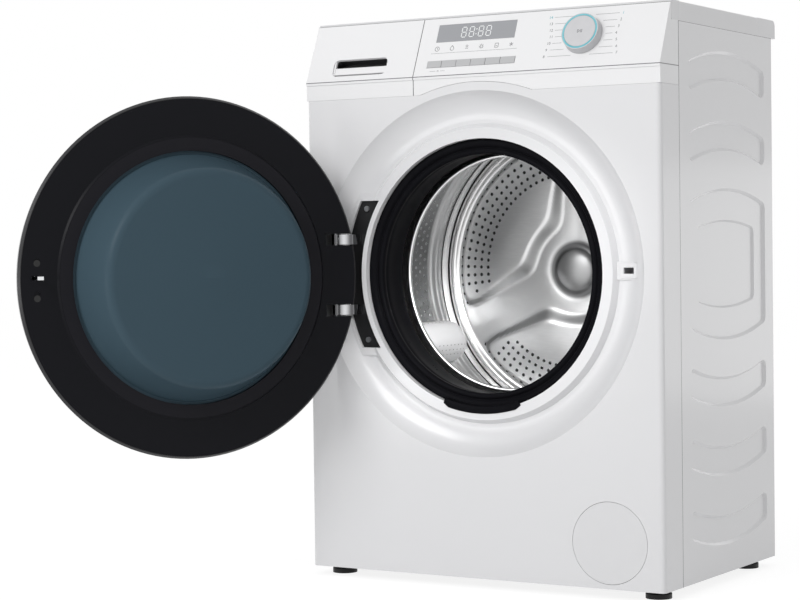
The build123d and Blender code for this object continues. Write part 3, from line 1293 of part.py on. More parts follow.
# Door lock behind the front panel, with its bezel flush on the lock land
LOCK = MOUTH.offset(-LAND_DEPTH)
LOCK_BACK_START = TROUGH_DEPTH + SHEET - LAND_DEPTH
with BuildPart() as door_lock:
    with BuildSketch(LOCK):
        with Locations((LOCK_X, LOCK_UP)):
            Rectangle(LOCK_BEZEL_WIDTH, LOCK_BEZEL_HEIGHT)
    extrude(amount=-LOCK_BACK_START)
    with BuildSketch(LOCK.offset(-LOCK_BACK_START)):
        with Locations((LOCK_X, LOCK_UP)):
            Rectangle(LOCK_BODY_WIDTH, LOCK_BODY_HEIGHT)
    extrude(amount=-LOCK_BODY_DEPTH)
    with BuildSketch(LOCK):
        with Locations((LOCK_X, LOCK_UP)):
            Rectangle(LOCK_SLOT_WIDTH, LOCK_SLOT_HEIGHT)
    extrude(amount=-LOCK_BACK_START, mode=Mode.SUBTRACT)
    with BuildSketch(LOCK.offset(-LOCK_BACK_START)):
        with Locations((LOCK_X, LOCK_UP)):
            Rectangle(LOCK_BODY_WIDTH - 2 * WALL, LOCK_CAVITY_HEIGHT)
    extrude(amount=-(LOCK_BODY_DEPTH - WALL), mode=Mode.SUBTRACT)
door_lock.part.label = "door_lock"
export_step(door_lock.part, "parts/door_lock.step")

# Door: outer ring with a ledge for the inner frame
SLOT_SPAN = DOOR_R + SLOT_INNER_X
LEDGE_DEPTH = DOOR_FACE - WALL
DOOR_ROUNDS = [0, DOOR_RIM_ROUND, DOOR_OUTER_ROUND, DOOR_OUTER_ROUND, 0, 0]
DOOR_ROUNDS += [DOOR_INNER_ROUND, DOOR_INNER_ROUND, 0, 0, 0, 0, 0]
with BuildPart() as door_outer_frame:
    with BuildSketch(DOOR_SECTION):
        with BuildLine():
            FilletPolyline(
                (DOOR_RIM_R, DOOR_FACE),
                (DOOR_R, 0),
                (DOOR_WAIST_R, -DOOR_WAIST),
                (DOOR_WAIST_R - DOOR_CHAMFER, -DOOR_FRONT),
                (OUTER_FRAME_HOLE_R, -DOOR_FRONT),
                (OUTER_FRAME_HOLE_R, DOOR_SKIN - DOOR_FRONT),
                (DOOR_WAIST_R - DOOR_CHAMFER - DOOR_SKIN, DOOR_SKIN - DOOR_FRONT),
                (DOOR_WAIST_R - DOOR_SKIN, DOOR_SKIN - DOOR_WAIST),
                (DOOR_R - DOOR_SKIN, LEDGE_DEPTH - DOOR_SKIN),
                (DOOR_R - DOOR_SKIN - OUTER_LEDGE, LEDGE_DEPTH - DOOR_SKIN),
                (DOOR_R - DOOR_SKIN - OUTER_LEDGE, LEDGE_DEPTH),
                (INNER_FRAME_R + SEAM, LEDGE_DEPTH),
                (INNER_FRAME_R + SEAM, DOOR_FACE),
                radius=DOOR_ROUNDS,
                close=True,
            )
        make_face()
    revolve(axis=DOOR_AXIS)
    for level in ARM_LEVELS:
        with BuildSketch(DOOR.offset(-DOOR_FACE)):
            with Locations((SLOT_INNER_X, level)):
                Rectangle(
                    2 * SLOT_SPAN, ARM_HEIGHT + SLOT_EXTRA, align=(Align.MAX, Align.CENTER)
                )
        extrude(amount=SLOT_DEPTH, mode=Mode.SUBTRACT)
door_outer_frame.part.label = "door_outer_frame"
export_step(door_outer_frame.part, "parts/door_outer_frame.step")

# Door: inner frame with the ears of the hinge pins and of the hook
HOOK_EAR_OFFSET = (HOOK_THICK + HOOK_EAR_HEIGHT) / 2 + RUN_GAP
with BuildPart() as door_inner_frame:
    with BuildSketch(DOOR_SECTION):
        with BuildLine():
            Polyline(
                (INNER_FRAME_HOLE_R, LEDGE_DEPTH),
                (INNER_FRAME_HOLE_R, DOOR_FACE + INNER_FRAME_RAISE),
                (INNER_FRAME_RAISED_R, DOOR_FACE + INNER_FRAME_RAISE),
                (INNER_FRAME_RAISED_R + INNER_FRAME_RAISE, DOOR_FACE),
                (INNER_FRAME_R, DOOR_FACE),
                (INNER_FRAME_R, LEDGE_DEPTH),
                close=True,
            )
        make_face()
    revolve(axis=DOOR_AXIS)
    for level in ARM_LEVELS:
        for side in (-1, 1):
            ear_up = level + side * (ARM_HEIGHT + SLOT_EXTRA + EAR_HEIGHT) / 2
            with BuildSketch(DOOR.offset(-LEDGE_DEPTH)):
                with Locations((HINGE_X, ear_up)):
                    Rectangle(EAR_WIDTH, EAR_HEIGHT)
            extrude(amount=LEDGE_DEPTH + HINGE_FORWARD + EAR_WIDTH / 2)
    for side in (-1, 1):
        with BuildSketch(DOOR.offset(-LEDGE_DEPTH)):
            with Locations((LOCK_X, LOCK_UP + side * HOOK_EAR_OFFSET)):
                Rectangle(HOOK_EAR_WIDTH, HOOK_EAR_HEIGHT)
        extrude(amount=LEDGE_DEPTH + HOOK_PIVOT_FORWARD + HOOK_BOSS_R)
    for level in ARM_LEVELS:
        with BuildSketch(DOOR.offset(-DOOR_FACE)):
            with Locations((SLOT_INNER_X, level)):
                Rectangle(
                    2 * SLOT_SPAN, ARM_HEIGHT + SLOT_EXTRA, align=(Align.MAX, Align.CENTER)
                )
        extrude(amount=SLOT_DEPTH, mode=Mode.SUBTRACT)
    with BuildSketch(DOOR.offset(-DOOR_FACE)):
        with Locations((LOCK_X, LOCK_UP)):
            Rectangle(HOOK_WINDOW_WIDTH, HOOK_THICK + 2 * RUN_GAP)
    extrude(amount=WALL, mode=Mode.SUBTRACT)
    with BuildSketch(DOOR.offset(-DOOR_FACE)):
        with Locations((LOCK_X, LOCK_UP + DIMPLE_HALF), (LOCK_X, LOCK_UP - DIMPLE_HALF)):
            Circle(DIMPLE_R)
    extrude(amount=DIMPLE_DEPTH, mode=Mode.SUBTRACT)
    with BuildSketch(Plane(origin=HINGE_POINT)):
        Circle(PIN_R + FIT)
    extrude(amount=HEIGHT, mode=Mode.SUBTRACT)
    hook_pivot = DOOR_CENTRE + DOOR_ACROSS * LOCK_X - DOOR_INWARD * HOOK_PIVOT_FORWARD
    with BuildSketch(Plane(origin=(hook_pivot.X, hook_pivot.Y, 0))):
        Circle(HOOK_PIN_R + FIT)
    extrude(amount=HEIGHT, mode=Mode.SUBTRACT)
door_inner_frame.part.label = "door_inner_frame"
export_step(door_inner_frame.part, "parts/door_inner_frame.step")

# Door: outer pane behind the outer ring, and the glass bowl held by the inner frame
with BuildPart() as door_window:
    with BuildSketch(DOOR.offset(DOOR_FRONT - DOOR_SKIN)):
        Circle(OUTER_FRAME_HOLE_R + WINDOW_LAP)
    extrude(amount=-WINDOW_THICK)
door_window.part.label = "door_window"
export_step(door_window.part, "parts/door_window.step")

with BuildPart() as door_glass:
    with BuildSketch(DOOR_SECTION):
        with BuildLine():
            FilletPolyline(
                (0, GLASS_DEPTH + GLASS_DOME),
                (GLASS_BOTTOM_R, GLASS_DEPTH),
                (GLASS_BOWL_R, LEDGE_DEPTH),
                (GLASS_FLANGE_R, LEDGE_DEPTH),
                (GLASS_FLANGE_R, LEDGE_DEPTH - GLASS_THICK),
                (GLASS_BOWL_R - GLASS_THICK, LEDGE_DEPTH - GLASS_THICK),
                (GLASS_BOTTOM_R - GLASS_THICK, GLASS_DEPTH - GLASS_THICK),
                (0, GLASS_DEPTH + GLASS_DOME - GLASS_THICK),
                radius=[0, GLASS_CORNER, GLASS_NECK_R, 0, 0, GLASS_ROOT_R, GLASS_CORNER - GLASS_THICK, 0],
                close=True,
            )
        make_face()
    revolve(axis=DOOR_AXIS)
door_glass.part.label = "door_glass"
export_step(door_glass.part, "parts/door_glass.step")

# Door hook on its pin
HOOK_LEVEL = AXIS_HEIGHT + LOCK_UP
HOOK_PLANE = Plane(
    origin=(hook_pivot.X, hook_pivot.Y, HOOK_LEVEL - HOOK_THICK / 2), x_dir=DOOR_ACROSS, z_dir=(0, 0, 1)
)
HOOK_LENGTH = HOOK_PIVOT_FORWARD + DOOR_FACE + HOOK_REACH
with BuildPart() as door_hook:
    with BuildSketch(HOOK_PLANE):
        Circle(HOOK_BOSS_R)
        with BuildLine():
            Polyline(
                (-HOOK_BAR / 2, 0),
                (HOOK_BAR / 2, 0),
                (HOOK_BAR / 2, HOOK_LENGTH - HOOK_BARB_LENGTH),
                (HOOK_BAR / 2 + HOOK_BARB, HOOK_LENGTH - HOOK_BARB_LENGTH),
                (HOOK_BAR / 2, HOOK_LENGTH),
                (-HOOK_BAR / 2, HOOK_LENGTH),
                close=True,
            )
        make_face()
    extrude(amount=HOOK_THICK)
    with BuildSketch(HOOK_PLANE.offset(HOOK_THICK / 2)):
        Circle(HOOK_PIN_R)
    extrude(amount=HOOK_EAR_OFFSET + HOOK_EAR_HEIGHT / 2, both=True)
door_hook.part.label = "door_hook"
export_step(door_hook.part, "parts/door_hook.step")

# Tub front half, with the collar of the seal, the sump spout and the damper lugs
with BuildPart() as tub_front:
    with BuildSketch(MOUTH_SECTION):
        with BuildLine():
            Polyline(
                (TUB_MOUTH_R, TUB_FRONT - TUB_COLLAR),
                (TUB_MOUTH_R + TUB_WALL, TUB_FRONT - TUB_COLLAR),
                (TUB_MOUTH_R + TUB_WALL, TUB_FRONT),
                (TUB_R, TUB_FRONT),
                (TUB_R, TUB_SPLIT - TUB_FLANGE_THICK),
                (TUB_R + TUB_FLANGE, TUB_SPLIT - TUB_FLANGE_THICK),
                (TUB_R + TUB_FLANGE, TUB_SPLIT),
                (TUB_MOUTH_R, TUB_SPLIT),
                close=True,
            )
        make_face()
    revolve(axis=DRUM_AXIS)
    sump_bottom = AXIS_HEIGHT - sqrt(TUB_R**2 - SUMP_X**2) - SUMP_LENGTH
    with BuildSketch(Plane(origin=(SUMP_X, Y_FRONT + SUMP_DEPTH, sump_bottom))):
        Circle(SPOUT_R)
    extrude(amount=SUMP_SPOUT_LENGTH)
    with BuildSketch(Plane.XY.offset(DAMPER_LUG)):
        with Locations((0, Y_FRONT + DAMPER_DEPTH)):
            with GridLocations(2 * DAMPER_X, 0, 2, 1):
                Rectangle(DAMPER_LUG_SIZE, DAMPER_LUG_SIZE)
    extrude(amount=DAMPER_LUG_HEIGHT)
    with BuildSketch(MOUTH_SECTION):
        with BuildLine():
            Polyline(
                (0, TUB_FRONT + TUB_WALL),
                (TUB_INNER_R, TUB_FRONT + TUB_WALL),
                (TUB_INNER_R, TUB_SPLIT),
                (0, TUB_SPLIT),
                close=True,
            )
        make_face()
    revolve(axis=DRUM_AXIS, mode=Mode.SUBTRACT)
    with BuildSketch(Plane(origin=(SUMP_X, Y_FRONT + SUMP_DEPTH, sump_bottom))):
        Circle(SPOUT_BORE_R)
    extrude(amount=SUMP_SPOUT_LENGTH, mode=Mode.SUBTRACT)
    with BuildSketch(MOUTH.offset(-TUB_FRONT)):
        with Locations((HEATER_HALF, -HEATER_RADIUS), (-HEATER_HALF, -HEATER_RADIUS)):
            Circle(HEATER_ROD_R + RUN_GAP)
    extrude(amount=-TUB_WALL, mode=Mode.SUBTRACT)
tub_front.part.label = "tub_front"
export_step(tub_front.part, "parts/tub_front.step")

# Tub rear half, with the bearing hub, the spring lugs and the water stub
HUB_END = TUB_BACK + HUB_OUTSIDE
HUB_START = TUB_BACK - TUB_WALL - HUB_INSIDE
with BuildPart() as tub_rear:
    with BuildSketch(MOUTH_SECTION):
        with BuildLine():
            Polyline(
                (0, TUB_SPLIT),
                (TUB_R + TUB_FLANGE, TUB_SPLIT),
                (TUB_R + TUB_FLANGE, TUB_SPLIT + TUB_FLANGE_THICK),
                (TUB_R, TUB_SPLIT + TUB_FLANGE_THICK),
                (TUB_R, TUB_BACK),
                (HUB_R, TUB_BACK),
                (HUB_R, HUB_END),
                (0, HUB_END),
                close=True,
            )
        make_face()
    revolve(axis=DRUM_AXIS)
    for side in (-1, 1):
        with BuildSketch(Plane.XY.offset(SPRING_LUG_HEIGHT - SPRING_LUG_THICK)):
            with Locations((side * SPRING_X, Y_FRONT + SPRING_DEPTH)):
                Circle(SPRING_LUG_WIDTH / 2)
            with Locations((side * (SPRING_X - SPRING_LUG_REACH / 2), Y_FRONT + SPRING_DEPTH)):
                Rectangle(SPRING_LUG_REACH, SPRING_LUG_WIDTH)
        extrude(amount=SPRING_LUG_THICK)
    with BuildSketch(Plane(origin=(WATER_X, Y_FRONT + WATER_DEPTH, WATER_STUB_TOP))):
        Circle(SPOUT_R)
    extrude(amount=-WATER_STUB_ROOT)
    with BuildSketch(MOUTH_SECTION):
        with BuildLine():
            Polyline(
                (0, TUB_SPLIT),
                (TUB_INNER_R, TUB_SPLIT),
                (TUB_INNER_R, TUB_BACK - TUB_WALL),
                (HUB_R, TUB_BACK - TUB_WALL),
                (HUB_R, HUB_START),
                (BEARING_R, HUB_START),
                (BEARING_R, HUB_END),
                (0, HUB_END),
                close=True,
            )
        make_face()
    revolve(axis=DRUM_AXIS, mode=Mode.SUBTRACT)
    with BuildSketch(Plane(origin=(WATER_X, Y_FRONT + WATER_DEPTH, WATER_STUB_TOP))):
        Circle(SPOUT_BORE_R)
    extrude(amount=-WATER_BORE_LENGTH, mode=Mode.SUBTRACT)
tub_rear.part.label = "tub_rear"
export_step(tub_rear.part, "parts/tub_rear.step")

# Cast weights over the mouth and on top of the tub
with BuildPart() as counterweights:
    with BuildSketch(MOUTH_SECTION.rotated((0, FRONT_WEIGHT_ARC / 2 - 90, 0))):
        with Locations((FRONT_WEIGHT_INNER_R, TUB_FRONT)):
            Rectangle(
                FRONT_WEIGHT_OUTER_R - FRONT_WEIGHT_INNER_R,
                FRONT_WEIGHT_THICK,
                align=(Align.MIN, Align.MAX),
            )
    revolve(axis=DRUM_AXIS, revolution_arc=-FRONT_WEIGHT_ARC)
    with BuildSketch(Plane.XY.offset(AXIS_HEIGHT)):
        with Locations((TOP_WEIGHT_X, Y_FRONT + TOP_WEIGHT_START)):
            Rectangle(TOP_WEIGHT_WIDTH, TOP_WEIGHT_LENGTH, align=(Align.CENTER, Align.MIN))
    extrude(amount=TOP_WEIGHT_TOP - AXIS_HEIGHT)
    with BuildSketch(MOUTH.offset(-TUB_FRONT)):
        Circle(TUB_R)
    extrude(amount=TUB_FRONT - TUB_BACK, mode=Mode.SUBTRACT)
counterweights.part.label = "counterweights"
export_step(counterweights.part, "parts/counterweights.step")

# Heater loop between tub and drum, on its flange
HEATER_LEVEL = AXIS_HEIGHT - HEATER_RADIUS
with BuildPart() as heater:
    with BuildLine(Plane(origin=(0, Y_FRONT, HEATER_LEVEL))):
        FilletPolyline(
            (-HEATER_HALF, TUB_FRONT),
            (-HEATER_HALF, HEATER_END),
            (HEATER_HALF, HEATER_END),
            (HEATER_HALF, TUB_FRONT),
            radius=HEATER_BEND_R,
        )
    with BuildSketch(FRONT.offset(-TUB_FRONT)):
        with Locations((-HEATER_HALF, HEATER_LEVEL)):
            Circle(HEATER_ROD_R)
    sweep()
    with BuildSketch(FRONT.offset(-TUB_FRONT)):
        with Locations((0, HEATER_LEVEL)):
            Rectangle(HEATER_FLANGE_WIDTH, HEATER_FLANGE_HEIGHT)
    extrude(amount=HEATER_FLANGE_THICK)
heater.part.label = "heater"
export_step(heater.part, "parts/heater.step")

# Rubber hoses: dispenser to tub, and tub to pump
with BuildPart() as tub_hoses:
    with BuildSketch(Plane(origin=(WATER_X, Y_FRONT + WATER_DEPTH, WATER_STUB_TOP + RUN_GAP))):
        Circle(SPOUT_R)
        Circle(SPOUT_BORE_R, mode=Mode.SUBTRACT)
    extrude(amount=HOUSING_BOTTOM - WATER_SPOUT - WATER_STUB_TOP - RUN_GAP)
    with BuildLine(FRONT.offset(-SUMP_DEPTH)):
        FilletPolyline(
            (SUMP_X, sump_bottom - RUN_GAP),
            (SUMP_X, FILTER_HEIGHT),
            (FILTER_X - PUMP_SPOUT_REACH, FILTER_HEIGHT),
            radius=HOSE_BEND_R,
        )
    with BuildSketch(Plane(origin=(SUMP_X, Y_FRONT + SUMP_DEPTH, sump_bottom - RUN_GAP))):
        Circle(SPOUT_R)
        Circle(SPOUT_BORE_R, mode=Mode.SUBTRACT)
    sweep()
tub_hoses.part.label = "tub_hoses"
export_step(tub_hoses.part, "parts/tub_hoses.step")

# Suspension: springs from the top frame, dampers from the base
with BuildPart() as suspension_springs:
    with BuildSketch(Plane.XY.offset(SPRING_LUG_HEIGHT + RUN_GAP)):
        with Locations((0, Y_FRONT + SPRING_DEPTH)):
            with GridLocations(2 * SPRING_X, 0, 2, 1):
                Circle(SPRING_R)
                Circle(SPRING_BORE_R, mode=Mode.SUBTRACT)
    extrude(amount=FRAME_UNDER - SPRING_LUG_HEIGHT - RUN_GAP)
suspension_springs.part.label = "suspension_springs"
export_step(suspension_springs.part, "parts/suspension_springs.step")

with BuildPart() as damper_cylinders:
    with BuildSketch(Plane.XY.offset(BASE_TOP)):
        with Locations((0, Y_FRONT + DAMPER_DEPTH)):
            with GridLocations(2 * DAMPER_X, 0, 2, 1):
                Circle(DAMPER_R)
    extrude(amount=DAMPER_TOP - BASE_TOP)
    with BuildSketch(Plane.XY.offset(DAMPER_TOP)):
        with Locations((0, Y_FRONT + DAMPER_DEPTH)):
            with GridLocations(2 * DAMPER_X, 0, 2, 1):
                Circle(DAMPER_ROD_R + RUN_GAP)
    extrude(amount=BASE_TOP + DAMPER_R - DAMPER_TOP, mode=Mode.SUBTRACT)
damper_cylinders.part.label = "damper_cylinders"
export_step(damper_cylinders.part, "parts/damper_cylinders.step")

with BuildPart() as damper_rods:
    with BuildSketch(Plane.XY.offset(DAMPER_ROD_BOTTOM)):
        with Locations((0, Y_FRONT + DAMPER_DEPTH)):
            with GridLocations(2 * DAMPER_X, 0, 2, 1):
                Circle(DAMPER_ROD_R)
    extrude(amount=DAMPER_LUG - DAMPER_ROD_BOTTOM)
damper_rods.part.label = "damper_rods"
export_step(damper_rods.part, "parts/damper_rods.step")

# Drum shell: flared front with a rolled lip, cylinder and two beads
with BuildPart() as drum_shell:
    with BuildSketch(MOUTH_SECTION):
        with BuildLine():
            Polyline(
                (DRUM_MOUTH_R, DRUM_FRONT),
                (DRUM_R, DRUM_FRONT + DRUM_SHOULDER),
                (DRUM_R, DRUM_BACK),
                (DRUM_R + DRUM_SHEET, DRUM_BACK),
                (DRUM_R + DRUM_SHEET, DRUM_FRONT + DRUM_SHOULDER - DRUM_SHEET),
                (DRUM_MOUTH_R, DRUM_FRONT - DRUM_SHEET),
                close=True,
            )
        make_face()
        with Locations((DRUM_MOUTH_R, DRUM_FRONT)):
            Circle(DRUM_LIP_R)
        with Locations(*[(DRUM_R + DRUM_SHEET / 2, DRUM_BACK - setback) for setback in BEAD_SETBACKS]):
            Circle(BEAD_R)
    revolve(axis=DRUM_AXIS)
drum_shell.part.label = "drum_shell"
export_step(drum_shell.part, "parts/drum_shell.step")

# Drum back: plate with a rim bead, three hollow pads that leave a star between them, and a hub dome
BACK_FACE = MOUTH.offset(-DRUM_BACK)


def star_pads(plane, shrink):
    """Outlines of the pads between the star's arms, narrowed all round by a margin."""
    with BuildSketch(plane) as pads:
        Circle(STAR_OUTER_R - shrink)
        Circle(STAR_HUB_R + shrink, mode=Mode.SUBTRACT)
        with PolarLocations(0, STAR_COUNT, start_angle=STAR_ANGLE):
            Polygon(
                (0, -STAR_INNER_HALF - shrink),
                (DRUM_R, -STAR_OUTER_HALF - shrink),
                (DRUM_R, STAR_OUTER_HALF + shrink),
                (0, STAR_INNER_HALF + shrink),
                align=None,
                mode=Mode.SUBTRACT,
            )
        fillet(pads.vertices(), PAD_CORNER_R - shrink)
    return pads.sketch


with BuildPart() as drum_back:
    with BuildSketch(BACK_FACE):
        Circle(DRUM_R + DRUM_SHEET)
    extrude(amount=-BACK_SHEET)
    extrude(star_pads(BACK_FACE, 0), amount=PAD_RAISE, taper=PAD_TAPER)
    with BuildSketch(MOUTH_SECTION):
        with BuildLine():
            Line((0, DRUM_BACK), (0, DRUM_BACK - HUB_DOME_RAISE))
            ThreePointArc(
                (0, DRUM_BACK - HUB_DOME_RAISE),
                (HUB_DOME_R * HUB_DOME_SHARE, DRUM_BACK - HUB_DOME_RAISE * HUB_DOME_SHARE),
                (HUB_DOME_R, DRUM_BACK),
            )
            Line((HUB_DOME_R, DRUM_BACK), (0, DRUM_BACK))
        make_face()
        with Locations((DRUM_R - 2 * BACK_RIM_R, DRUM_BACK)):
            Circle(BACK_RIM_R)
    revolve(axis=DRUM_AXIS)
    with BuildSketch(BACK_FACE.offset(-BACK_SHEET)):
        Circle(DRUM_R + DRUM_SHEET)
    extrude(amount=-BACK_RIM_R, mode=Mode.SUBTRACT)
    extrude(
        star_pads(BACK_FACE.offset(-BACK_SHEET), 2 * BACK_SHEET),
        amount=PAD_RAISE,
        taper=PAD_TAPER,
        mode=Mode.SUBTRACT,
    )
drum_back.part.label = "drum_back"
export_step(drum_back.part, "parts/drum_back.step")

# Three lifters on the drum's wall
LIFTER_PLANE = MOUTH.offset(-(DRUM_FRONT + DRUM_SHOULDER + LIFTER_START))
with BuildPart() as drum_lifters:
    with BuildSketch(Plane.XY, mode=Mode.PRIVATE) as lifter_section:
        with BuildLine():
            FilletPolyline(
                (DRUM_R + DRUM_SHEET, -LIFTER_BASE_HALF),
                (DRUM_R + DRUM_SHEET, LIFTER_BASE_HALF),
                (DRUM_R - LIFTER_HEIGHT, LIFTER_TOP_HALF),
                (DRUM_R - LIFTER_HEIGHT, -LIFTER_TOP_HALF),
                radius=[0, 0, LIFTER_TOP_R, LIFTER_TOP_R],
                close=True,
            )
        make_face()
    with BuildSketch(LIFTER_PLANE):
        with PolarLocations(0, STAR_COUNT, start_angle=LIFTER_ANGLE):
            add(lifter_section.sketch_local)
        Circle(DRUM_R, mode=Mode.INTERSECT)
    extrude(amount=-LIFTER_LENGTH)
drum_lifters.part.label = "drum_lifters"
export_step(drum_lifters.part, "parts/drum_lifters.step")

# Spider: hub, three arms and the shaft
SPIDER_START = DRUM_BACK + BACK_SHEET
with BuildPart() as drum_spider:
    with BuildSketch(MOUTH.offset(-SPIDER_START)):
        Circle(SPIDER_HUB_R)
        with PolarLocations(0, STAR_COUNT, start_angle=STAR_ANGLE):
            Rectangle(SPIDER_REACH, SPIDER_ARM_WIDTH, align=(Align.MIN, Align.CENTER))
    extrude(amount=-SPIDER_THICK)
    with BuildSketch(MOUTH.offset(-SPIDER_START)):
        Circle(SHAFT_R)
    extrude(amount=SPIDER_START - SHAFT_END)
drum_spider.part.label = "drum_spider"
export_step(drum_spider.part, "parts/drum_spider.step")

with BuildPart() as bearings:
    for bearing_start in (HUB_START + SPIDER_GAP, HUB_END - SPIDER_GAP - BEARING_WIDTH):
        with BuildSketch(MOUTH.offset(-bearing_start)):
            Circle(BEARING_R)
            Circle(SHAFT_R + FIT, mode=Mode.SUBTRACT)
        extrude(amount=-BEARING_WIDTH)
bearings.part.label = "bearings"
export_step(bearings.part, "parts/bearings.step")

# Drum pulley with lightening holes
with BuildPart() as drum_pulley:
    with BuildSketch(MOUTH.offset(-PULLEY_START)):
        Circle(PULLEY_R)
        Circle(PULLEY_R - PULLEY_RIM, mode=Mode.SUBTRACT)
        Circle(PULLEY_HUB_R)
        Circle(SHAFT_R, mode=Mode.SUBTRACT)
    extrude(amount=-PULLEY_WIDTH)
    with BuildSketch(MOUTH.offset(-(PULLEY_START + (PULLEY_WIDTH - PULLEY_WEB) / 2))):
        Circle(PULLEY_R - PULLEY_RIM / 2)
        Circle(SHAFT_R, mode=Mode.SUBTRACT)
        with PolarLocations((PULLEY_R + PULLEY_HUB_R) / 2, PULLEY_WINDOWS):
            Circle(PULLEY_WINDOW_R, mode=Mode.SUBTRACT)
    extrude(amount=-PULLEY_WEB)
drum_pulley.part.label = "drum_pulley"
export_step(drum_pulley.part, "parts/drum_pulley.step")

# Motor hung under the tub, its pulley and the belt
MOTOR_DROP = AXIS_HEIGHT - MOTOR_HEIGHT
MOTOR = Plane(origin=(0, Y_FRONT, MOTOR_HEIGHT), x_dir=(1, 0, 0), z_dir=(0, -1, 0))
with BuildPart() as motor:
    with BuildSketch(MOTOR.offset(-MOTOR_START)):
        Circle(MOTOR_R)
    extrude(amount=MOTOR_START - MOTOR_END)
    with BuildSketch(Plane.XY.offset(MOTOR_HEIGHT)):
        with Locations((0, Y_FRONT + MOTOR_START + MOTOR_EAR_INSET)):
            Rectangle(MOTOR_EAR_WIDTH, MOTOR_EAR_LENGTH, align=(Align.CENTER, Align.MIN))
    extrude(amount=MOTOR_DROP - TUB_R + TUB_WALL)
    with BuildSketch(MOUTH.offset(-TUB_SPLIT)):
        Circle(TUB_R)
    extrude(amount=TUB_SPLIT - TUB_BACK, mode=Mode.SUBTRACT)
    with BuildSketch(MOTOR.offset(-MOTOR_END)):
        Circle(MOTOR_SHAFT_R + FIT)
    extrude(amount=MOTOR_BORE_DEPTH, mode=Mode.SUBTRACT)
motor.part.label = "motor"
export_step(motor.part, "parts/motor.step")

with BuildPart() as motor_pulley:
    with BuildSketch(MOTOR.offset(-PULLEY_START)):
        Circle(MOTOR_PULLEY_R)
    extrude(amount=-PULLEY_WIDTH)
    with BuildSketch(MOTOR.offset(-PULLEY_START)):
        Circle(MOTOR_SHAFT_R)
    extrude(amount=PULLEY_START - MOTOR_END + MOTOR_BORE_DEPTH - RUN_GAP)
motor_pulley.part.label = "motor_pulley"
export_step(motor_pulley.part, "parts/motor_pulley.step")


def belt_loop(plane, grow):
    """Taut loop round both pulleys, at a distance from their rims."""
    with BuildSketch(plane) as loop:
        with BuildLine():
            CenterArc((0, 0), PULLEY_R + grow, 0, 360)
            CenterArc((0, -MOTOR_DROP), MOTOR_PULLEY_R + grow, 0, 360)
        make_hull()
    return loop.sketch


BELT = MOUTH.offset(-(PULLEY_START + (PULLEY_WIDTH - BELT_WIDTH) / 2))
with BuildPart() as drive_belt:
    extrude(belt_loop(BELT, RUN_GAP + BELT_THICK), amount=-BELT_WIDTH)
    extrude(belt_loop(BELT, RUN_GAP), amount=-BELT_WIDTH, mode=Mode.SUBTRACT)
drive_belt.part.label = "drive_belt"
export_step(drive_belt.part, "parts/drive_belt.step")

# Drain pump with its filter housing, the filter plug and the round cover
FILTER = Plane(origin=(FILTER_X, Y_FRONT, FILTER_HEIGHT), x_dir=(1, 0, 0), z_dir=(0, -1, 0))
PUMP_SPOUT_AXIS = Plane(
    origin=(FILTER_X, Y_FRONT + SUMP_DEPTH, FILTER_HEIGHT), x_dir=(0, 1, 0), z_dir=(-1, 0, 0)
)
with BuildPart() as drain_pump:
    with BuildSketch(FILTER.offset(-FILTER_START)):
        Circle(FILTER_OUTER_R)
    extrude(amount=-FILTER_LENGTH)
    with BuildSketch(FILTER.offset(-FILTER_START - FILTER_LENGTH)):
        Circle(PUMP_R)
    extrude(amount=-PUMP_LENGTH)
    with BuildSketch(Plane.XY.offset(BASE_TOP)):
        with Locations((FILTER_X, Y_FRONT + FILTER_START + FILTER_WALL)):
            Rectangle(
                PUMP_FOOT_WIDTH, FILTER_LENGTH + PUMP_LENGTH / 2, align=(Align.CENTER, Align.MIN)
            )
    extrude(amount=FILTER_HEIGHT - BASE_TOP)
    with BuildSketch(PUMP_SPOUT_AXIS):
        Circle(SPOUT_R)
    extrude(amount=PUMP_SPOUT_REACH)
    with BuildSketch(FILTER.offset(-FILTER_START)):
        Circle(FILTER_BORE_R)
    extrude(amount=FILTER_WALL - FILTER_LENGTH, mode=Mode.SUBTRACT)
    with BuildSketch(PUMP_SPOUT_AXIS):
        Circle(SPOUT_BORE_R)
    extrude(amount=PUMP_SPOUT_REACH, mode=Mode.SUBTRACT)
drain_pump.part.label = "drain_pump"
export_step(drain_pump.part, "parts/drain_pump.step")

with BuildPart() as filter_plug:
    with BuildSketch(FILTER.offset(RUN_GAP - FILTER_START)):
        Circle(PLUG_FLANGE_R)
    extrude(amount=PLUG_FLANGE_THICK)
    with BuildSketch(FILTER.offset(RUN_GAP - FILTER_START)):
        Circle(FILTER_BORE_R - FIT)
    extrude(amount=-PLUG_LENGTH)
    with BuildSketch(FILTER.offset(RUN_GAP - FILTER_START + PLUG_FLANGE_THICK)):
        SlotOverall(2 * FILTER_BORE_R, PLUG_GRIP_WIDTH)
    extrude(amount=PLUG_GRIP_HEIGHT)
filter_plug.part.label = "filter_plug"
export_step(filter_plug.part, "parts/filter_plug.step")

with BuildPart() as filter_cover:
    with BuildSketch(FILTER):
        Circle(FILTER_COVER_R - FILTER_COVER_GAP)
    extrude(amount=-FILTER_COVER_THICK)
    with BuildSketch(FILTER):
        with PolarLocations(
            FILTER_COVER_R - FILTER_CLIP_R - RUN_GAP, FILTER_CLIPS, start_angle=180 / FILTER_CLIPS
        ):
            Circle(FILTER_CLIP_R)
    extrude(amount=-FILTER_CLIP_LENGTH)
    with BuildSketch(FILTER):
        Circle(FILTER_COVER_R)
        Circle(FILTER_COVER_R - FILTER_COVER_GAP, mode=Mode.SUBTRACT)
    extrude(amount=-FILTER_COVER_THICK, mode=Mode.SUBTRACT)
filter_cover.part.label = "filter_cover"
export_step(filter_cover.part, "parts/filter_cover.step")
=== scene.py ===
import json
import math

import bmesh
import bpy
from mathutils import Matrix, Vector

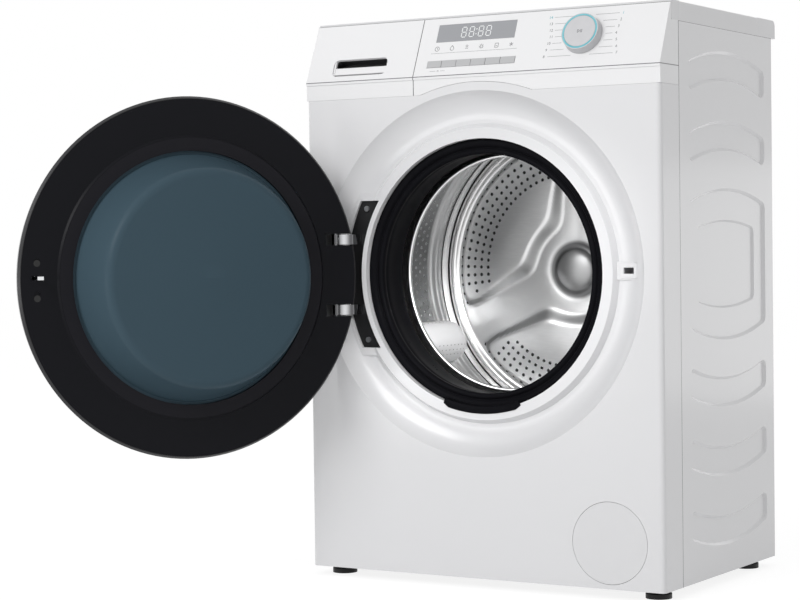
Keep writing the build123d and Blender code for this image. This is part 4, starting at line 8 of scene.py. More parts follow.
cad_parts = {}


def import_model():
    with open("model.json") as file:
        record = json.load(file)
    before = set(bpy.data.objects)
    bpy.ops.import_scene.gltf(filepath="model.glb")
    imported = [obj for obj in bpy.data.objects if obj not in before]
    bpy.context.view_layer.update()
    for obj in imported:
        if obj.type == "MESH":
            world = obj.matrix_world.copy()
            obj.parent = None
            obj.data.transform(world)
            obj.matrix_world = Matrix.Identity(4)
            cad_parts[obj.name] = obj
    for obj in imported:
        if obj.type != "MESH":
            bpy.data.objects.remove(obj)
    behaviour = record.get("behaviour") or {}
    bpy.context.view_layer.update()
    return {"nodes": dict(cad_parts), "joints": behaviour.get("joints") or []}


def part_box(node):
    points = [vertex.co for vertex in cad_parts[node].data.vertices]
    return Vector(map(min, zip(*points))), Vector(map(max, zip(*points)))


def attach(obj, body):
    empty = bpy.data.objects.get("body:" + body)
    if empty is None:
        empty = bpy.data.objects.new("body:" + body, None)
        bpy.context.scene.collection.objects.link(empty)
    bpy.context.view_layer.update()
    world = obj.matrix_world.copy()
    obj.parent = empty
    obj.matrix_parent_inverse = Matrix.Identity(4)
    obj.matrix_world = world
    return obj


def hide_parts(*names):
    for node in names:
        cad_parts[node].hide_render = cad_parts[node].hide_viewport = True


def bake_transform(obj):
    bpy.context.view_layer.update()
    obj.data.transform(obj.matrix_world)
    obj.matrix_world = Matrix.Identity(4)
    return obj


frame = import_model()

NODES = frame["nodes"]
JOINTS = {joint["name"]: joint for joint in frame["joints"]}
MM = 0.001

# Places of the machine, read from the frame
Y_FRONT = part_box("front_panel")[0].y
DRUM_CENTRE = Vector(JOINTS["drum_spin"]["pos_m"])
AXIS_HEIGHT = DRUM_CENTRE.z
HINGE = Vector(JOINTS["door_hinge"]["pos_m"])
DIAL_CENTRE = Vector(JOINTS["dial_turn"]["pos_m"])
FASCIA_OUT = Vector(JOINTS["dial_turn"]["axis"]).normalized()
FASCIA_UP = FASCIA_OUT.cross(Vector((1, 0, 0))).normalized()
DOOR_OPEN = math.radians(JOINTS["door_hinge"]["range_deg"][1])

# Places and sizes of the pieces that are drawn here, in millimetres
DIAL_UP = 52.0
DIAL_HEIGHT = 13.0
DISPLAY_UP = 70.5
PRINT_LIFT = 0.06
DRUM_R = 236.0
DRUM_BACK_DEPTH = 322.0
LIFTER_ANGLES = [math.radians(210 + 120 * turn) for turn in range(3)]
STAR_ANGLES = [math.radians(206 + 120 * turn) for turn in range(3)]


def at_mouth(radius, angle, depth):
    """Point at a radius and an angle round the drum's axis, at a depth behind the front, in millimetres."""
    across = radius * math.cos(angle) * MM
    rise = radius * math.sin(angle) * MM
    return Vector((across, Y_FRONT + depth * MM, AXIS_HEIGHT + rise))


def on_fascia(x, up, lift=PRINT_LIFT):
    """Point on the slanted fascia, by its place across and its distance up the slope, in millimetres."""
    place = DIAL_CENTRE + FASCIA_UP * ((up - DIAL_UP) * MM) + FASCIA_OUT * (lift * MM)
    place.x = x * MM
    return place


def smoothstep(low, high, value):
    """0 below low, 1 above high and a smooth rise between them."""
    share = min(max((value - low) / (high - low), 0.0), 1.0)
    return share * share * (3 - 2 * share)


# Materials

def cleared(owner):
    """Empty node tree of a material or a world."""
    owner.use_nodes = True
    owner.node_tree.nodes.clear()
    return owner.node_tree


def add_node(tree, kind, settings, *values, **named):
    """New node: its settings, then values or links for its sockets, in order (None skips) and by name."""
    made = tree.nodes.new(kind)
    for key, value in settings.items():
        setattr(made, key, value)
    sockets = [*enumerate(values), *((key.replace("_", " "), value) for key, value in named.items())]
    for key, value in sockets:
        if isinstance(value, Value):
            value = value.socket
        if isinstance(value, bpy.types.NodeSocket):
            tree.links.new(value, made.inputs[key])
        elif value is not None:
            made.inputs[key].default_value = value
    return made


def sums(operation, reflected=False):
    """Method that puts two values through a maths node, swapped in the reflected form."""

    def act(value, other):
        pair = (other, value) if reflected else (value, other)
        return value.finish.node("ShaderNodeMath", {"operation": operation}, *pair)

    return act


class Value:
    """A shader value that takes part in Python sums."""

    __add__ = sums("ADD")
    __radd__ = sums("ADD", True)
    __sub__ = sums("SUBTRACT")
    __rsub__ = sums("SUBTRACT", True)
    __mul__ = sums("MULTIPLY")
    __rmul__ = sums("MULTIPLY", True)
    __gt__ = sums("GREATER_THAN")
    __lt__ = sums("LESS_THAN")
    __pow__ = sums("POWER")
    most = sums("MAXIMUM")

    def __init__(self, finish, socket):
        self.finish = finish
        self.socket = socket

    def sine(self):
        return self.finish.node("ShaderNodeMath", {"operation": "SINE"}, self)


# The mix node's sockets between its factor and its two colours, and its colour output
MIX_SKIPS = [None] * 5
MIX_COLOUR = 2


class Finish:
    """One material: a principled shader and the nodes that feed it."""

    def __init__(self, name, colour, roughness, **constants):
        self.material = bpy.data.materials.new(name)
        self.tree = cleared(self.material)
        constants.update(Base_Color=(*colour, 1), Roughness=roughness)
        self.shader = add_node(self.tree, "ShaderNodeBsdfPrincipled", {}, **constants)
        add_node(self.tree, "ShaderNodeOutputMaterial", {}, Surface=self.shader.outputs[0])
        self.coordinates = self.node("ShaderNodeTexCoord", {}, out="Object")

    def node(self, kind, settings, *values, out=0, **named):
        """One output of any new node in this material."""
        return Value(self, add_node(self.tree, kind, settings, *values, **named).outputs[out])

    def feed(self, socket, value):
        """Links a varying value to one of the shader's sockets."""
        self.tree.links.new(value.socket, self.shader.inputs[socket])

    def axis(self, letter):
        """One of the object coordinates."""
        return self.node("ShaderNodeSeparateXYZ", {}, self.coordinates, out=letter)

    def along(self, direction):
        """How far a point lies along a direction square to the X axis."""
        return self.axis("Y") * direction.y + self.axis("Z") * direction.z

    def line(self, letter, place, half):
        """1 within half a line's width of a place on an axis, and 0 elsewhere."""
        return self.node("ShaderNodeMath", {"operation": "COMPARE"}, self.axis(letter), place, half)

    def noise(self, scale, detail=2.0, stretch=None):
        """Noise between 0 and 1, stretched along the axes if asked."""
        place = self.coordinates
        if stretch:
            place = self.node("ShaderNodeMapping", {}, place, Scale=stretch)
        return self.node("ShaderNodeTexNoise", {}, Vector=place, Scale=scale, Detail=detail, out="Fac")

    def mix(self, factor, first, second):
        """Colour that goes from the first to the second with the factor."""
        colours = [colour if isinstance(colour, Value) else (*colour, 1) for colour in (first, second)]
        kind = {"data_type": "RGBA"}
        return self.node("ShaderNodeMix", kind, factor, *MIX_SKIPS, *colours, out=MIX_COLOUR)

    def paint(self, factor, first, second):
        """Base colour that goes from the first to the second with the factor."""
        self.feed("Base Color", self.mix(factor, first, second))

    def tinted(self, amount, scale, colour):
        """Colour that wanders a little lighter and darker."""
        darker = [channel * (1 - amount) for channel in colour]
        lighter = [min(channel * (1 + amount), 1) for channel in colour]
        return self.mix(self.noise(scale), darker, lighter)

    def grain(self, base, spread, scale, stretch=None):
        """Roughness that varies about a base value."""
        self.feed("Roughness", base + (self.noise(scale, stretch=stretch) - 0.5) * spread)

    def bump(self, height, strength, distance):
        """Fine relief from a height between 0 and 1, its distance in metres."""
        relief = self.node(
            "ShaderNodeBump", {}, Strength=strength, Distance=distance, Height=height, out="Normal"
        )
        self.feed("Normal", relief)


SEAM_HALF = 0.65 * MM
SEAM_SHADE = (0.16, 0.16, 0.17)
SIDE_EDGE = 2.0 * MM


def enamel():
    """White stoved enamel with a trace of orange peel, with painted shade in the joints between the panels.
    """
    white = (0.735, 0.735, 0.748)
    finish = Finish("white_enamel", white, 0.24, Coat_Weight=0.3, Coat_Roughness=0.12)
    low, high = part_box("right_side_panel")
    # Painted shade: the seam to the side panel and the panels' top edge are painted dark (SEAM_SHADE).
    joint = finish.line("Y", low.y, SEAM_HALF) * finish.line("X", high.x, SIDE_EDGE)
    joint = joint.most(finish.line("Z", high.z, SEAM_HALF))
    finish.paint(joint, finish.tinted(0.004, 9.0, white), SEAM_SHADE)
    finish.grain(0.24, 0.05, 60.0)
    finish.bump(finish.noise(420.0), 0.03, 0.0002)
    return finish.material


RECESS_X = -205.0
RECESS_HALF = 49.0
RECESS_BEHIND = 5.0
RECESS_UP = 27.0


def fascia_plastic():
    """White plastic of the fascia, with painted shade in its joints and a painted shadow deep in the
    drawer's finger recess.
    """
    white = (0.81, 0.81, 0.82)
    finish = Finish("fascia_plastic", white, 0.3, Coat_Weight=0.2)
    # Painted shade in the joints: along the fascia's foot, beside the drawer front and along the top of the
    # control panel.
    joint = finish.line("Z", on_fascia(0, 0).z, SEAM_HALF)
    joint = joint.most(finish.line("X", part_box("drawer_front")[1].x, SEAM_HALF))
    joint = joint.most(finish.axis("Z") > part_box("control_panel")[1].z - SEAM_HALF)
    # Painted shadow: inside the finger recess, behind its edge and above the grip, the plastic is painted
    # near black.
    edge = on_fascia(0, RECESS_UP, -RECESS_BEHIND)
    behind = finish.along(FASCIA_OUT) < edge.dot(FASCIA_OUT)
    painted_recess_shadow = behind * (finish.along(FASCIA_UP) > edge.dot(FASCIA_UP))
    painted_recess_shadow = painted_recess_shadow * finish.line("X", RECESS_X * MM, RECESS_HALF * MM)
    plain = finish.mix(joint, finish.tinted(0.004, 25.0, white), SEAM_SHADE)
    finish.paint(painted_recess_shadow, plain, (0.01, 0.01, 0.011))
    finish.grain(0.3, 0.06, 120.0)
    finish.bump(finish.noise(460.0), 0.05, 0.00015)
    return finish.material


FOOT_COLLAR = 11.0


def foot_rubber():
    """Black foot with a zinc-plated collar over it."""
    black = (0.008, 0.008, 0.009)
    finish = Finish("foot_rubber", black, 0.5, Specular_IOR_Level=0.3)
    collar = finish.axis("Z") > FOOT_COLLAR * MM
    finish.paint(collar, black, (0.3, 0.3, 0.31))
    finish.feed("Metallic", collar * 0.8)
    finish.grain(0.45, 0.1, 90.0)
    return finish.material


def plain(name, colour, roughness, tint, grain=None, relief=None, **constants):
    """Finish of one colour that wanders a little, with a grain and a fine relief from noise."""
    finish = Finish(name, colour, roughness, **constants)
    finish.feed("Base Color", finish.tinted(*tint, colour))
    if grain:
        finish.grain(*grain)
    if relief:
        noise, strength, distance = relief
        finish.bump(finish.noise(*noise), strength, distance)
    return finish.material


def plated(name, colour, roughness, scratch):
    """Plated steel with fine drawn marks."""
    return plain(name, colour, roughness, (0.06, 50.0), (roughness, scratch, 90.0, (1, 1, 14)), Metallic=1.0)


def moulded(name, colour, roughness, grain_scale=380.0, coat=0.0, specular=0.5):
    """Moulded plastic with a spark-eroded grain."""
    relief = ((grain_scale,), 0.05, 0.00015)
    gloss = {"Coat_Weight": coat, "Specular_IOR_Level": specular}
    return plain(name, colour, roughness, (0.008, 25.0), (roughness, 0.06, 120.0), relief, **gloss)


def ink(name, colour):
    """Printed ink, a little uneven."""
    return plain(name, colour, 0.5, (0.1, 220.0))


def rubber():
    """Black rubber with a dusty bloom."""
    black = (0.0055, 0.0055, 0.0068)
    finish = Finish("black_rubber", black, 0.3, Specular_IOR_Level=0.012)
    finish.paint(finish.noise(35.0, 5.0) * 0.5, black, (0.012, 0.012, 0.0145))
    finish.grain(0.3, 0.12, 45.0)
    finish.bump(finish.noise(520.0), 0.06, 0.0002)
    return finish.material


HINGE_PLATE_DEPTH = 19.5
HINGE_REFLECTION_RATE = 380.0


def hinge_metal():
    """Chromed arms with painted bands of reflection, that turn black where the bracket sits in its pocket.
    """
    finish = Finish("hinge_chrome", (0.7, 0.7, 0.72), 0.12)
    plate = finish.axis("Y") > Y_FRONT + HINGE_PLATE_DEPTH * MM
    # Painted reflections: light and dark bands across the chrome arms.
    painted_reflections = 0.5 + (finish.axis("X") * HINGE_REFLECTION_RATE).sine() * 0.5
    chrome = finish.mix(painted_reflections, (0.12, 0.12, 0.125), (0.66, 0.665, 0.68))
    finish.paint(plate, chrome, (0.006, 0.006, 0.007))
    finish.feed("Metallic", 1 - plate)
    finish.feed("Roughness", 0.1 + plate * 0.28 + finish.noise(80.0) * 0.06)
    return finish.material


DOOR_EDGE_BEHIND = 10.0
DOOR_STEP_R = 205.0
BOWL_RING_RATE = 900.0


def door_place(finish):
    """Distance from the open door's axis, and distance behind the hinge if the door were shut, in metres."""
    hung = finish.node("ShaderNodeMapping", {"vector_type": "POINT"}, finish.coordinates, Location=-HINGE)
    shut = finish.node("ShaderNodeVectorRotate", {"rotation_type": "Z_AXIS"}, Vector=hung, Angle=DOOR_OPEN)
    across, behind, upright = (
        finish.node("ShaderNodeSeparateXYZ", {}, shut, out=letter) for letter in "XYZ"
    )
    across = across + HINGE.x
    return (across * across + upright * upright) ** 0.5, behind


def door_rim():
    """Silver lacquer of the door's outer frame, black on the edge that faces the machine."""
    lacquer = (0.2, 0.204, 0.21)
    finish = Finish("door_rim", lacquer, 0.32, Coat_Weight=0.2)
    edge = door_place(finish)[1] > DOOR_EDGE_BEHIND * MM
    silver = finish.mix(finish.noise(300.0) * 0.1, lacquer, (0.3, 0.304, 0.31))
    finish.paint(edge, silver, (0.008, 0.008, 0.01))
    finish.feed("Coat Weight", 0.2 - edge * 0.2)
    finish.grain(0.34, 0.08, 120.0)
    return finish.material


def door_black():
    """Near-black moulding of the door, paler inside the raised step."""
    finish = Finish("door_black", (0.007, 0.0072, 0.0098), 0.36, Specular_IOR_Level=0.1)
    step = door_place(finish)[0] < DOOR_STEP_R * MM
    finish.paint(step, (0.0056, 0.0058, 0.008), (0.0125, 0.0122, 0.0155))
    finish.feed("Roughness", 0.34 + step * 0.1 + finish.noise(70.0) * 0.06)
    finish.bump(finish.noise(420.0), 0.04, 0.00015)
    return finish.material


def bowl_glass():
    """Teal glass of the bowl with faint pressed rings."""
    teal = (0.05, 0.084, 0.108)
    finish = Finish("bowl_glass", teal, 0.3, Specular_IOR_Level=0.06, Alpha=0.97)
    rings = (door_place(finish)[0] * BOWL_RING_RATE).sine() * 0.5 + 0.5
    finish.paint(rings * 0.06, teal, (0.06, 0.096, 0.122))
    finish.grain(0.3, 0.06, 20.0)
    return finish.material


def pressed_steel():
    """Stainless sheet whose stored sheen sets its roughness and paints highlights on its pressed edges and
    shade on the flanks between them.
    """
    steel = (0.8, 0.805, 0.81)
    finish = Finish("drum_stainless", steel, 0.24, Metallic=1.0)
    sheen_and_shade = finish.node("ShaderNodeAttribute", {"attribute_name": "sheen_and_shade"}, out="Fac")
    streaks = finish.noise(60.0, 6.0, (1, 1, 7))
    plain = finish.mix(streaks, steel, (0.95, 0.952, 0.955))
    # Painted light: a low sheen paints the steel towards dark shade, a high one towards a bright highlight.
    shaded_steel = finish.mix(sheen_and_shade * 2.0, (0.2, 0.202, 0.205), plain)
    finish.paint(sheen_and_shade * 2.0 - 1.0, shaded_steel, (0.97, 0.97, 0.97))
    finish.feed("Roughness", 0.36 - sheen_and_shade * 0.12 + streaks * 0.1)
    finish.bump(streaks, 0.04, 0.0003)
    return finish.material


def circuit_board():
    """Green board with copper runs."""
    green = (0.02, 0.09, 0.03)
    finish = Finish("circuit_board", green, 0.45)
    runs = finish.node("ShaderNodeTexBrick", {}, Vector=finish.coordinates, Scale=90.0, out="Fac")
    finish.paint(runs, green, (0.22, 0.17, 0.06))
    finish.grain(0.45, 0.2, 100.0)
    return finish.material


def lit_ring():
    """Teal light guide of the dial, fading round the ring."""
    finish = Finish("lit_ring", (0.05, 0.42, 0.5), 0.25)
    finish.paint(finish.noise(28.0), (0.04, 0.36, 0.44), (0.32, 0.66, 0.72))
    finish.grain(0.25, 0.1, 60.0)
    return finish.material


MATERIALS = {
    "enamel": enamel(),
    "sheet": plain(
        "coated_back_sheet", (0.55, 0.56, 0.57), 0.42, (0.05, 40.0), (0.42, 0.12, 70.0),
        ((300.0,), 0.08, 0.0002), Metallic=0.35,
    ),
    "zinc": plated("zinc_plate", (0.5, 0.51, 0.53), 0.34, 0.2),
    "bright": plated("bright_steel", (0.78, 0.79, 0.8), 0.16, 0.08),
    "base": moulded("base_grey", (0.045, 0.045, 0.048), 0.55),
    "laminate": moulded("white_laminate", (0.74, 0.74, 0.75), 0.38, 240.0),
    "white": moulded("white_plastic", (0.71, 0.71, 0.722), 0.3, 460.0, 0.2),
    "fascia": fascia_plastic(),
    "foot": foot_rubber(),
    "pale": moulded("pale_plastic", (0.66, 0.67, 0.68), 0.42),
    "keys": moulded("key_plastic", (0.47, 0.473, 0.482), 0.4),
    "black": moulded("black_plastic", (0.008, 0.008, 0.009), 0.45, specular=0.25),
    "rim": door_rim(),
    "display": moulded("display_pane", (0.32, 0.327, 0.345), 0.24, 90.0, 0.2),
    "lifter": moulded("lifter_plastic", (0.86, 0.86, 0.87), 0.4),
    "tub": moulded("tub_plastic", (0.035, 0.036, 0.038), 0.55, specular=0.2),
    "alloy": plated("cast_alloy", (0.5, 0.505, 0.51), 0.4, 0.2),
    "rubber": rubber(),
    "hinge": hinge_metal(),
    "door": door_black(),
    "glass": bowl_glass(),
    "pane": plain(
        "smoked_pane", (0.01, 0.011, 0.013), 0.06, (0.2, 6.0), (0.07, 0.03, 30.0), Coat_Weight=0.5, IOR=1.5
    ),
    "drum": pressed_steel(),
    "board": circuit_board(),
    "iron": plain(
        "cast_iron", (0.11, 0.11, 0.115), 0.7, (0.3, 60.0), None, ((160.0, 6.0), 0.5, 0.001), Metallic=0.5
    ),
    "ring": lit_ring(),
    "dial": plain(
        "dial_silver", (0.52, 0.52, 0.535), 0.34, (0.04, 90.0), (0.34, 0.1, 300.0), Metallic=0.45
    ),
    "ink": ink("grey_ink", (0.13, 0.13, 0.14)),
    "teal_ink": ink("teal_ink", (0.03, 0.38, 0.44)),
    "light_ink": ink("display_ink", (0.86, 0.87, 0.88)),
    "hole": ink("hole_dark", (0.004, 0.004, 0.004)),
}

NODE_MATERIALS = {
    "enamel": "front_panel left_side_panel right_side_panel door_lock",
    "sheet": "back_panel rear_service_cover",
    "zinc": "top_frame cabinet_screws hinge_pins damper_rods suspension_springs",
    "bright": "door_hook bearings heater",
    "base": "base_frame",
    "laminate": "worktop_board",
    "white": "worktop_rails filter_cover",
    "fascia": "control_panel drawer_front",
    "foot": "foot_front_left foot_front_right foot_rear_left foot_rear_right",
    "pale": "detergent_tray dispenser_housing inlet_valve",
    "keys": "option_key_1 option_key_2 option_key_3 option_key_4 option_key_5 option_key_6",
    "black": "damper_cylinders drain_pump filter_plug",
    "rim": "door_outer_frame",
    "display": "display_window",
    "lifter": "drum_lifters",
    "tub": "tub_front tub_rear",
    "alloy": "drum_spider drum_pulley motor motor_pulley",
    "rubber": "gasket tub_hoses rear_grommets drive_belt",
    "hinge": "hinge_bracket",
    "door": "door_inner_frame",
    "glass": "door_glass",
    "pane": "door_window",
    "drum": "drum_shell drum_back",
    "board": "control_board",
    "iron": "counterweights",
    "ring": "dial_ring",
    "dial": "program_dial start_button",
}
for finish_name, node_names in NODE_MATERIALS.items():
    for node_name in node_names.split():
        slots = NODES[node_name].data.materials
        slots.clear()
        slots.append(MATERIALS[finish_name])


# Mesh helpers

def placed(name, data):
    """New object of a mesh, curve, lamp or camera, linked into the scene."""
    made = bpy.data.objects.new(name, data)
    bpy.context.scene.collection.objects.link(made)
    return made


def plain_mesh(thing):
    """Mesh of an object as its modifiers or its curve make it; the object goes."""
    mesh = bpy.data.meshes.new_from_object(thing.evaluated_get(bpy.context.evaluated_depsgraph_get()))
    bpy.data.objects.remove(thing)
    return mesh


def new_piece(name, mesh, material, body=None):
    """Links a finished mesh as a piece, with its material, riding on a body."""
    piece = placed(name, mesh)
    mesh.materials.clear()
    mesh.materials.append(MATERIALS[material])
    if body:
        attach(piece, body)
    return piece


def mesh_from(name, corners, faces):
    """Smooth mesh of corners and faces, facing outwards."""
    mesh = bpy.data.meshes.new(name)
    mesh.from_pydata(corners, [], faces)
    work = bmesh.new()
    work.from_mesh(mesh)
    bmesh.ops.recalc_face_normals(work, faces=work.faces)
    work.to_mesh(mesh)
    work.free()
    for face in mesh.polygons:
        face.use_smooth = True
    return mesh


def ring_grid(rows, columns, closed_rows):
    """Faces of a grid that closes round its columns, and round its rows if asked."""
    faces = []
    for row in range(rows if closed_rows else rows - 1):
        here = row * columns
        above = (row + 1) % rows * columns
        for column in range(columns):
            beside = (column + 1) % columns
            faces.append((here + column, here + beside, above + beside, above + column))
    return faces


def turned(profile, steps):
    """Corners of a profile of radii and depths turned round the drum's axis."""
    turns = [math.tau * step / steps for step in range(steps)]
    return [at_mouth(radius, turn, depth) for radius, depth in profile for turn in turns]


def shifted(faces, first):
    """Faces whose corners start at a later number."""
    return [tuple(first + index for index in face) for face in faces]


# Door seal

GASKET_STEPS = 180
GASKET_SECTION = [
    (199.6, 20.4), (199.0, 18.8), (197.4, 18.0), (194.6, 17.8), (191.6, 18.2), (189.4, 19.4), (188.2, 21.4),
    (187.5, 23.0), (186.4, 23.4), (185.5, 22.4), (184.6, 20.8), (183.0, 19.9), (180.8, 19.8), (178.8, 20.6),
    (177.4, 22.4), (177.0, 25.0), (177.8, 31.0), (178.6, 33.0), (178.2, 35.0), (179.2, 44.0), (180.2, 52.0),
    (180.8, 60.0), (181.2, 70.0), (181.4, 80.0), (181.6, 86.2), (182.2, 87.4), (183.4, 87.0), (184.0, 80.0),
    (184.4, 66.0), (184.8, 57.6), (185.6, 55.8), (187.4, 56.6), (190.4, 62.0), (193.6, 70.0), (194.3, 74.0),
    (194.3, 80.0), (194.3, 87.6), (198.3, 87.6), (198.3, 72.0), (196.0, 62.0), (192.0, 53.6), (188.0, 49.4),
    (185.4, 47.4), (183.8, 42.0), (182.6, 34.0), (182.0, 27.0), (184.0, 25.0), (190.0, 24.0), (199.6, 23.0),
]
DRAIN_HALF = 64.0
MOUTH_R = 200.0
DRAIN_STEPS = 28
DRAIN_SECTION = [
    (-4.6, 21.0), (-4.6, 9.4), (-3.6, 8.2), (5.6, 8.2), (6.6, 9.0), (6.6, 9.9), (-0.4, 9.9), (-0.4, 21.0),
]
TAB_END = 0.45
TAB_ROUND_STEPS = 2


def door_seal():
    """Folded rubber seal, with a tab over the lip at the drain."""
    corners = turned(GASKET_SECTION, GASKET_STEPS)
    faces = ring_grid(len(GASKET_SECTION), GASKET_STEPS, True)
    first = len(corners)
    half = math.asin(DRAIN_HALF / MOUTH_R)
    for step in range(DRAIN_STEPS + 1):
        angle = -math.pi / 2 - half + 2 * half * step / DRAIN_STEPS
        rounded = min(step, DRAIN_STEPS - step, TAB_ROUND_STEPS) / TAB_ROUND_STEPS
        for lap, depth in DRAIN_SECTION:
            reach = MOUTH_R + (lap if lap < 0 else lap * (TAB_END + (1 - TAB_END) * rounded))
            corners.append(at_mouth(reach, angle, depth))
    size = len(DRAIN_SECTION)
    tab = ring_grid(DRAIN_STEPS + 1, size, False)
    tab += [tuple(range(size)), tuple(DRAIN_STEPS * size + index for index in range(size))]
    faces += shifted(tab, first)
    piece = new_piece("door_seal", mesh_from("door_seal", corners, faces), "rubber")
    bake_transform(piece)
    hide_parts("gasket")


door_seal()


# Hidden hoses and springs that stretch between the cabinet and the tub

MERGE_WITHIN = 1e-6


def node_copy(name, node, keep):
    """Merged copy of the part of a node that a test keeps."""
    mesh = NODES[node].data.copy()
    mesh.name = name
    work = bmesh.new()
    work.from_mesh(mesh)
    bmesh.ops.remove_doubles(work, verts=work.verts, dist=MERGE_WITHIN)
    spare = [corner for corner in work.verts if not keep(corner.co)]
    bmesh.ops.delete(work, geom=spare, context="VERTS")
    work.to_mesh(mesh)
    work.free()
    return mesh


def tub_hoses():
    """Dispenser hose, on the left, and sump hose, on the right, as two copies of the node's mesh."""
    for name, side in (("water_hose", -1), ("sump_hose", 1)):
        piece = new_piece(name, node_copy(name, "tub_hoses", lambda co: co.x * side > 0), "rubber")
        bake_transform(piece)
        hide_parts("tub_hoses")


SPRING_TURNS = 22
SPRING_WIRE_R = 1.6
SPRING_STEPS = 20
SPRING_SIDES = 8


def springs():
    """Two coil springs from the top frame to the tub's lugs."""
    low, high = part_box("suspension_springs")
    wire = SPRING_WIRE_R * MM
    outer_r = (high.y - low.y) / 2
    rings = SPRING_TURNS * SPRING_STEPS + 1
    corners = []
    faces = []
    for side in (-1, 1):
        centre = Vector((side * (high.x - outer_r), (low.y + high.y) / 2, low.z + wire))
        first = len(corners)
        for ring in range(rings):
            turn = math.tau * ring / SPRING_STEPS
            out = Vector((math.cos(turn), math.sin(turn), 0))
            climb = (high.z - low.z - 2 * wire) * ring / (rings - 1)
            middle = centre + out * (outer_r - wire) + Vector((0, 0, climb))
            for corner in range(SPRING_SIDES):
                about = math.tau * corner / SPRING_SIDES
                lean = out * math.cos(about) + Vector((0, 0, math.sin(about)))
                corners.append(middle + lean * wire)
        tube = ring_grid(rings, SPRING_SIDES, False)
        faces += shifted(tube + [tuple(reversed(range(SPRING_SIDES)))], first)
        faces += shifted([range(SPRING_SIDES)], first + (rings - 1) * SPRING_SIDES)
    piece = new_piece("coil_springs", mesh_from("coil_springs", corners, faces), "zinc")
    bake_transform(piece)
    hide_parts("suspension_springs")


tub_hoses()
springs()


# Drum shell, turned from one profile with a rolled lip and beads

DRUM_STEPS = 216
SHELL_THICK = 0.9
LIP_PROFILE = [
    (181.0, 105.6), (177.6, 105.0), (175.2, 103.4), (174.2, 101.2), (174.6, 99.0), (176.2, 97.5),
    (178.4, 97.3), (180.2, 98.6), (181.4, 101.0), (184.0, 103.2), (196.0, 104.8), (214.0, 107.2),
    (226.0, 109.6), (232.0, 111.8), (235.0, 114.6), (236.0, 119.0),
]
WALL_BEADS = [(257.0, 2.2, 4.0), (270.0, 4.6, 5.0), (285.0, 3.6, 4.5)]
WALL_START = 124.0
WALL_END = 248.0
WALL_LAST = 320.0
WALL_STATIONS = 80
OUTER_PROFILE = [
    (DRUM_R + SHELL_THICK, WALL_LAST), (DRUM_R + SHELL_THICK, 116.0), (232.0, 110.0), (200.0, 104.4),
]
LIP_SHEEN_DEPTHS = (104.0, 118.0)
BEADS_SHEEN_DEPTHS = (WALL_END, WALL_END + 8.0)
EDGE_SHEEN = 0.85
WALL_BASE_SHEEN = -0.04
WALL_SHEEN = 0.76


def ridge(value, place, width):
    """1 at a place, falling smoothly to 0 on both sides."""
    return math.exp(-(((value - place) / width) ** 2))


def wall_radius(depth):
    """Inner radius of the drum's wall, which the beads narrow."""
    return DRUM_R - sum(rise * ridge(depth, place, width) for place, rise, width in WALL_BEADS)


def store_sheen_and_shade(mesh, sheen_and_shade):
    """Writes each corner's sheen, which sets the roughness and paints highlights and shade into the colour.
    """
    sheen_attribute = mesh.attributes.new("sheen_and_shade", "FLOAT", "POINT")
    sheen_attribute.data.foreach_set("value", sheen_and_shade)


def wall_sheen_and_shade(depth, angle):
    """Sheen of the shell, with painted highlights on the lip and the beads and painted shade on the
    perforated wall at mid height.
    """
    ends = max(1 - smoothstep(*LIP_SHEEN_DEPTHS, depth), smoothstep(*BEADS_SHEEN_DEPTHS, depth))
    # Painted light: highlights on the lip and beads, and the wall painted darker at mid height than at its
    # top and bottom.
    return EDGE_SHEEN * ends + (WALL_BASE_SHEEN + WALL_SHEEN * math.sin(angle) ** 2) * (1 - ends)


def drum_shell():
    """The shell as one closed sheet."""
    run = (WALL_LAST - WALL_START) / WALL_STATIONS
    depths = [WALL_START + run * station for station in range(WALL_STATIONS + 1)]
    profile = LIP_PROFILE + [(wall_radius(depth), depth) for depth in depths] + OUTER_PROFILE
    faces = ring_grid(len(profile), DRUM_STEPS, True)
    mesh = mesh_from("turned_drum_shell", turned(profile, DRUM_STEPS), faces)
    turns = [math.tau * step / DRUM_STEPS for step in range(DRUM_STEPS)]
    store_sheen_and_shade(mesh, [wall_sheen_and_shade(depth, angle) for radius, depth in profile for angle in turns])
    piece = new_piece("turned_drum_shell", mesh, "drum", "drum")
    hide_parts("drum_shell")


SEAM_DEPTH = 297.0
SEAM_SECTION = [(0.1, -0.9), (-0.9, -0.5), (-0.9, 0.5), (0.1, 0.9)]


def drum_seam():
    """Ring of painted shade in the joint where the shell is rolled over the back plate."""
    section = [(wall_radius(SEAM_DEPTH) + rise, SEAM_DEPTH + shift) for rise, shift in SEAM_SECTION]
    faces = ring_grid(len(section), DRUM_STEPS, True)
    mesh = mesh_from("drum_seam", turned(section, DRUM_STEPS), faces)
    # Painted shade: a near-black ring in the seam.
    new_piece("drum_seam", mesh, "hole", "drum")


drum_shell()
drum_seam()


# Drum back, a pressed plate with three raised pads that leave a star, a rim bead and a hub dome

BACK_R = 235.0
BACK_TURNS = 270
BACK_RINGS = 104
PAD_RAISE = 8.5
PAD_CROWN = 3.0
PAD_OUTER_R = 213.0
STAR_HUB_R = 66.0
STAR_INNER_HALF = 26.0
STAR_OUTER_HALF = 29.0
STAR_CREASE = 9.0
STAR_DIP = 0.001
STAR_FLOOR = 2.5
PAD_ROUND = 8.0
RIM_BEAD_R = 223.0
RIM_BEAD = 7.0
RIM_BEAD_WIDTH = 5.5
HUB_R = 35.0
HUB_RAISE = 10.0
HUB_EDGE = 4.0
GROOVE_R = HUB_R + 5.0
GROOVE_WIDTH = 6.0
GROOVE_DEPTH = 1.5
PLATE_THICK = 1.0
FLANK_BROAD = 26.0
FLANK_NARROW = 12.0
FLANK_RADII = (90.0, 200.0)
CROWN_RUN = 70.0

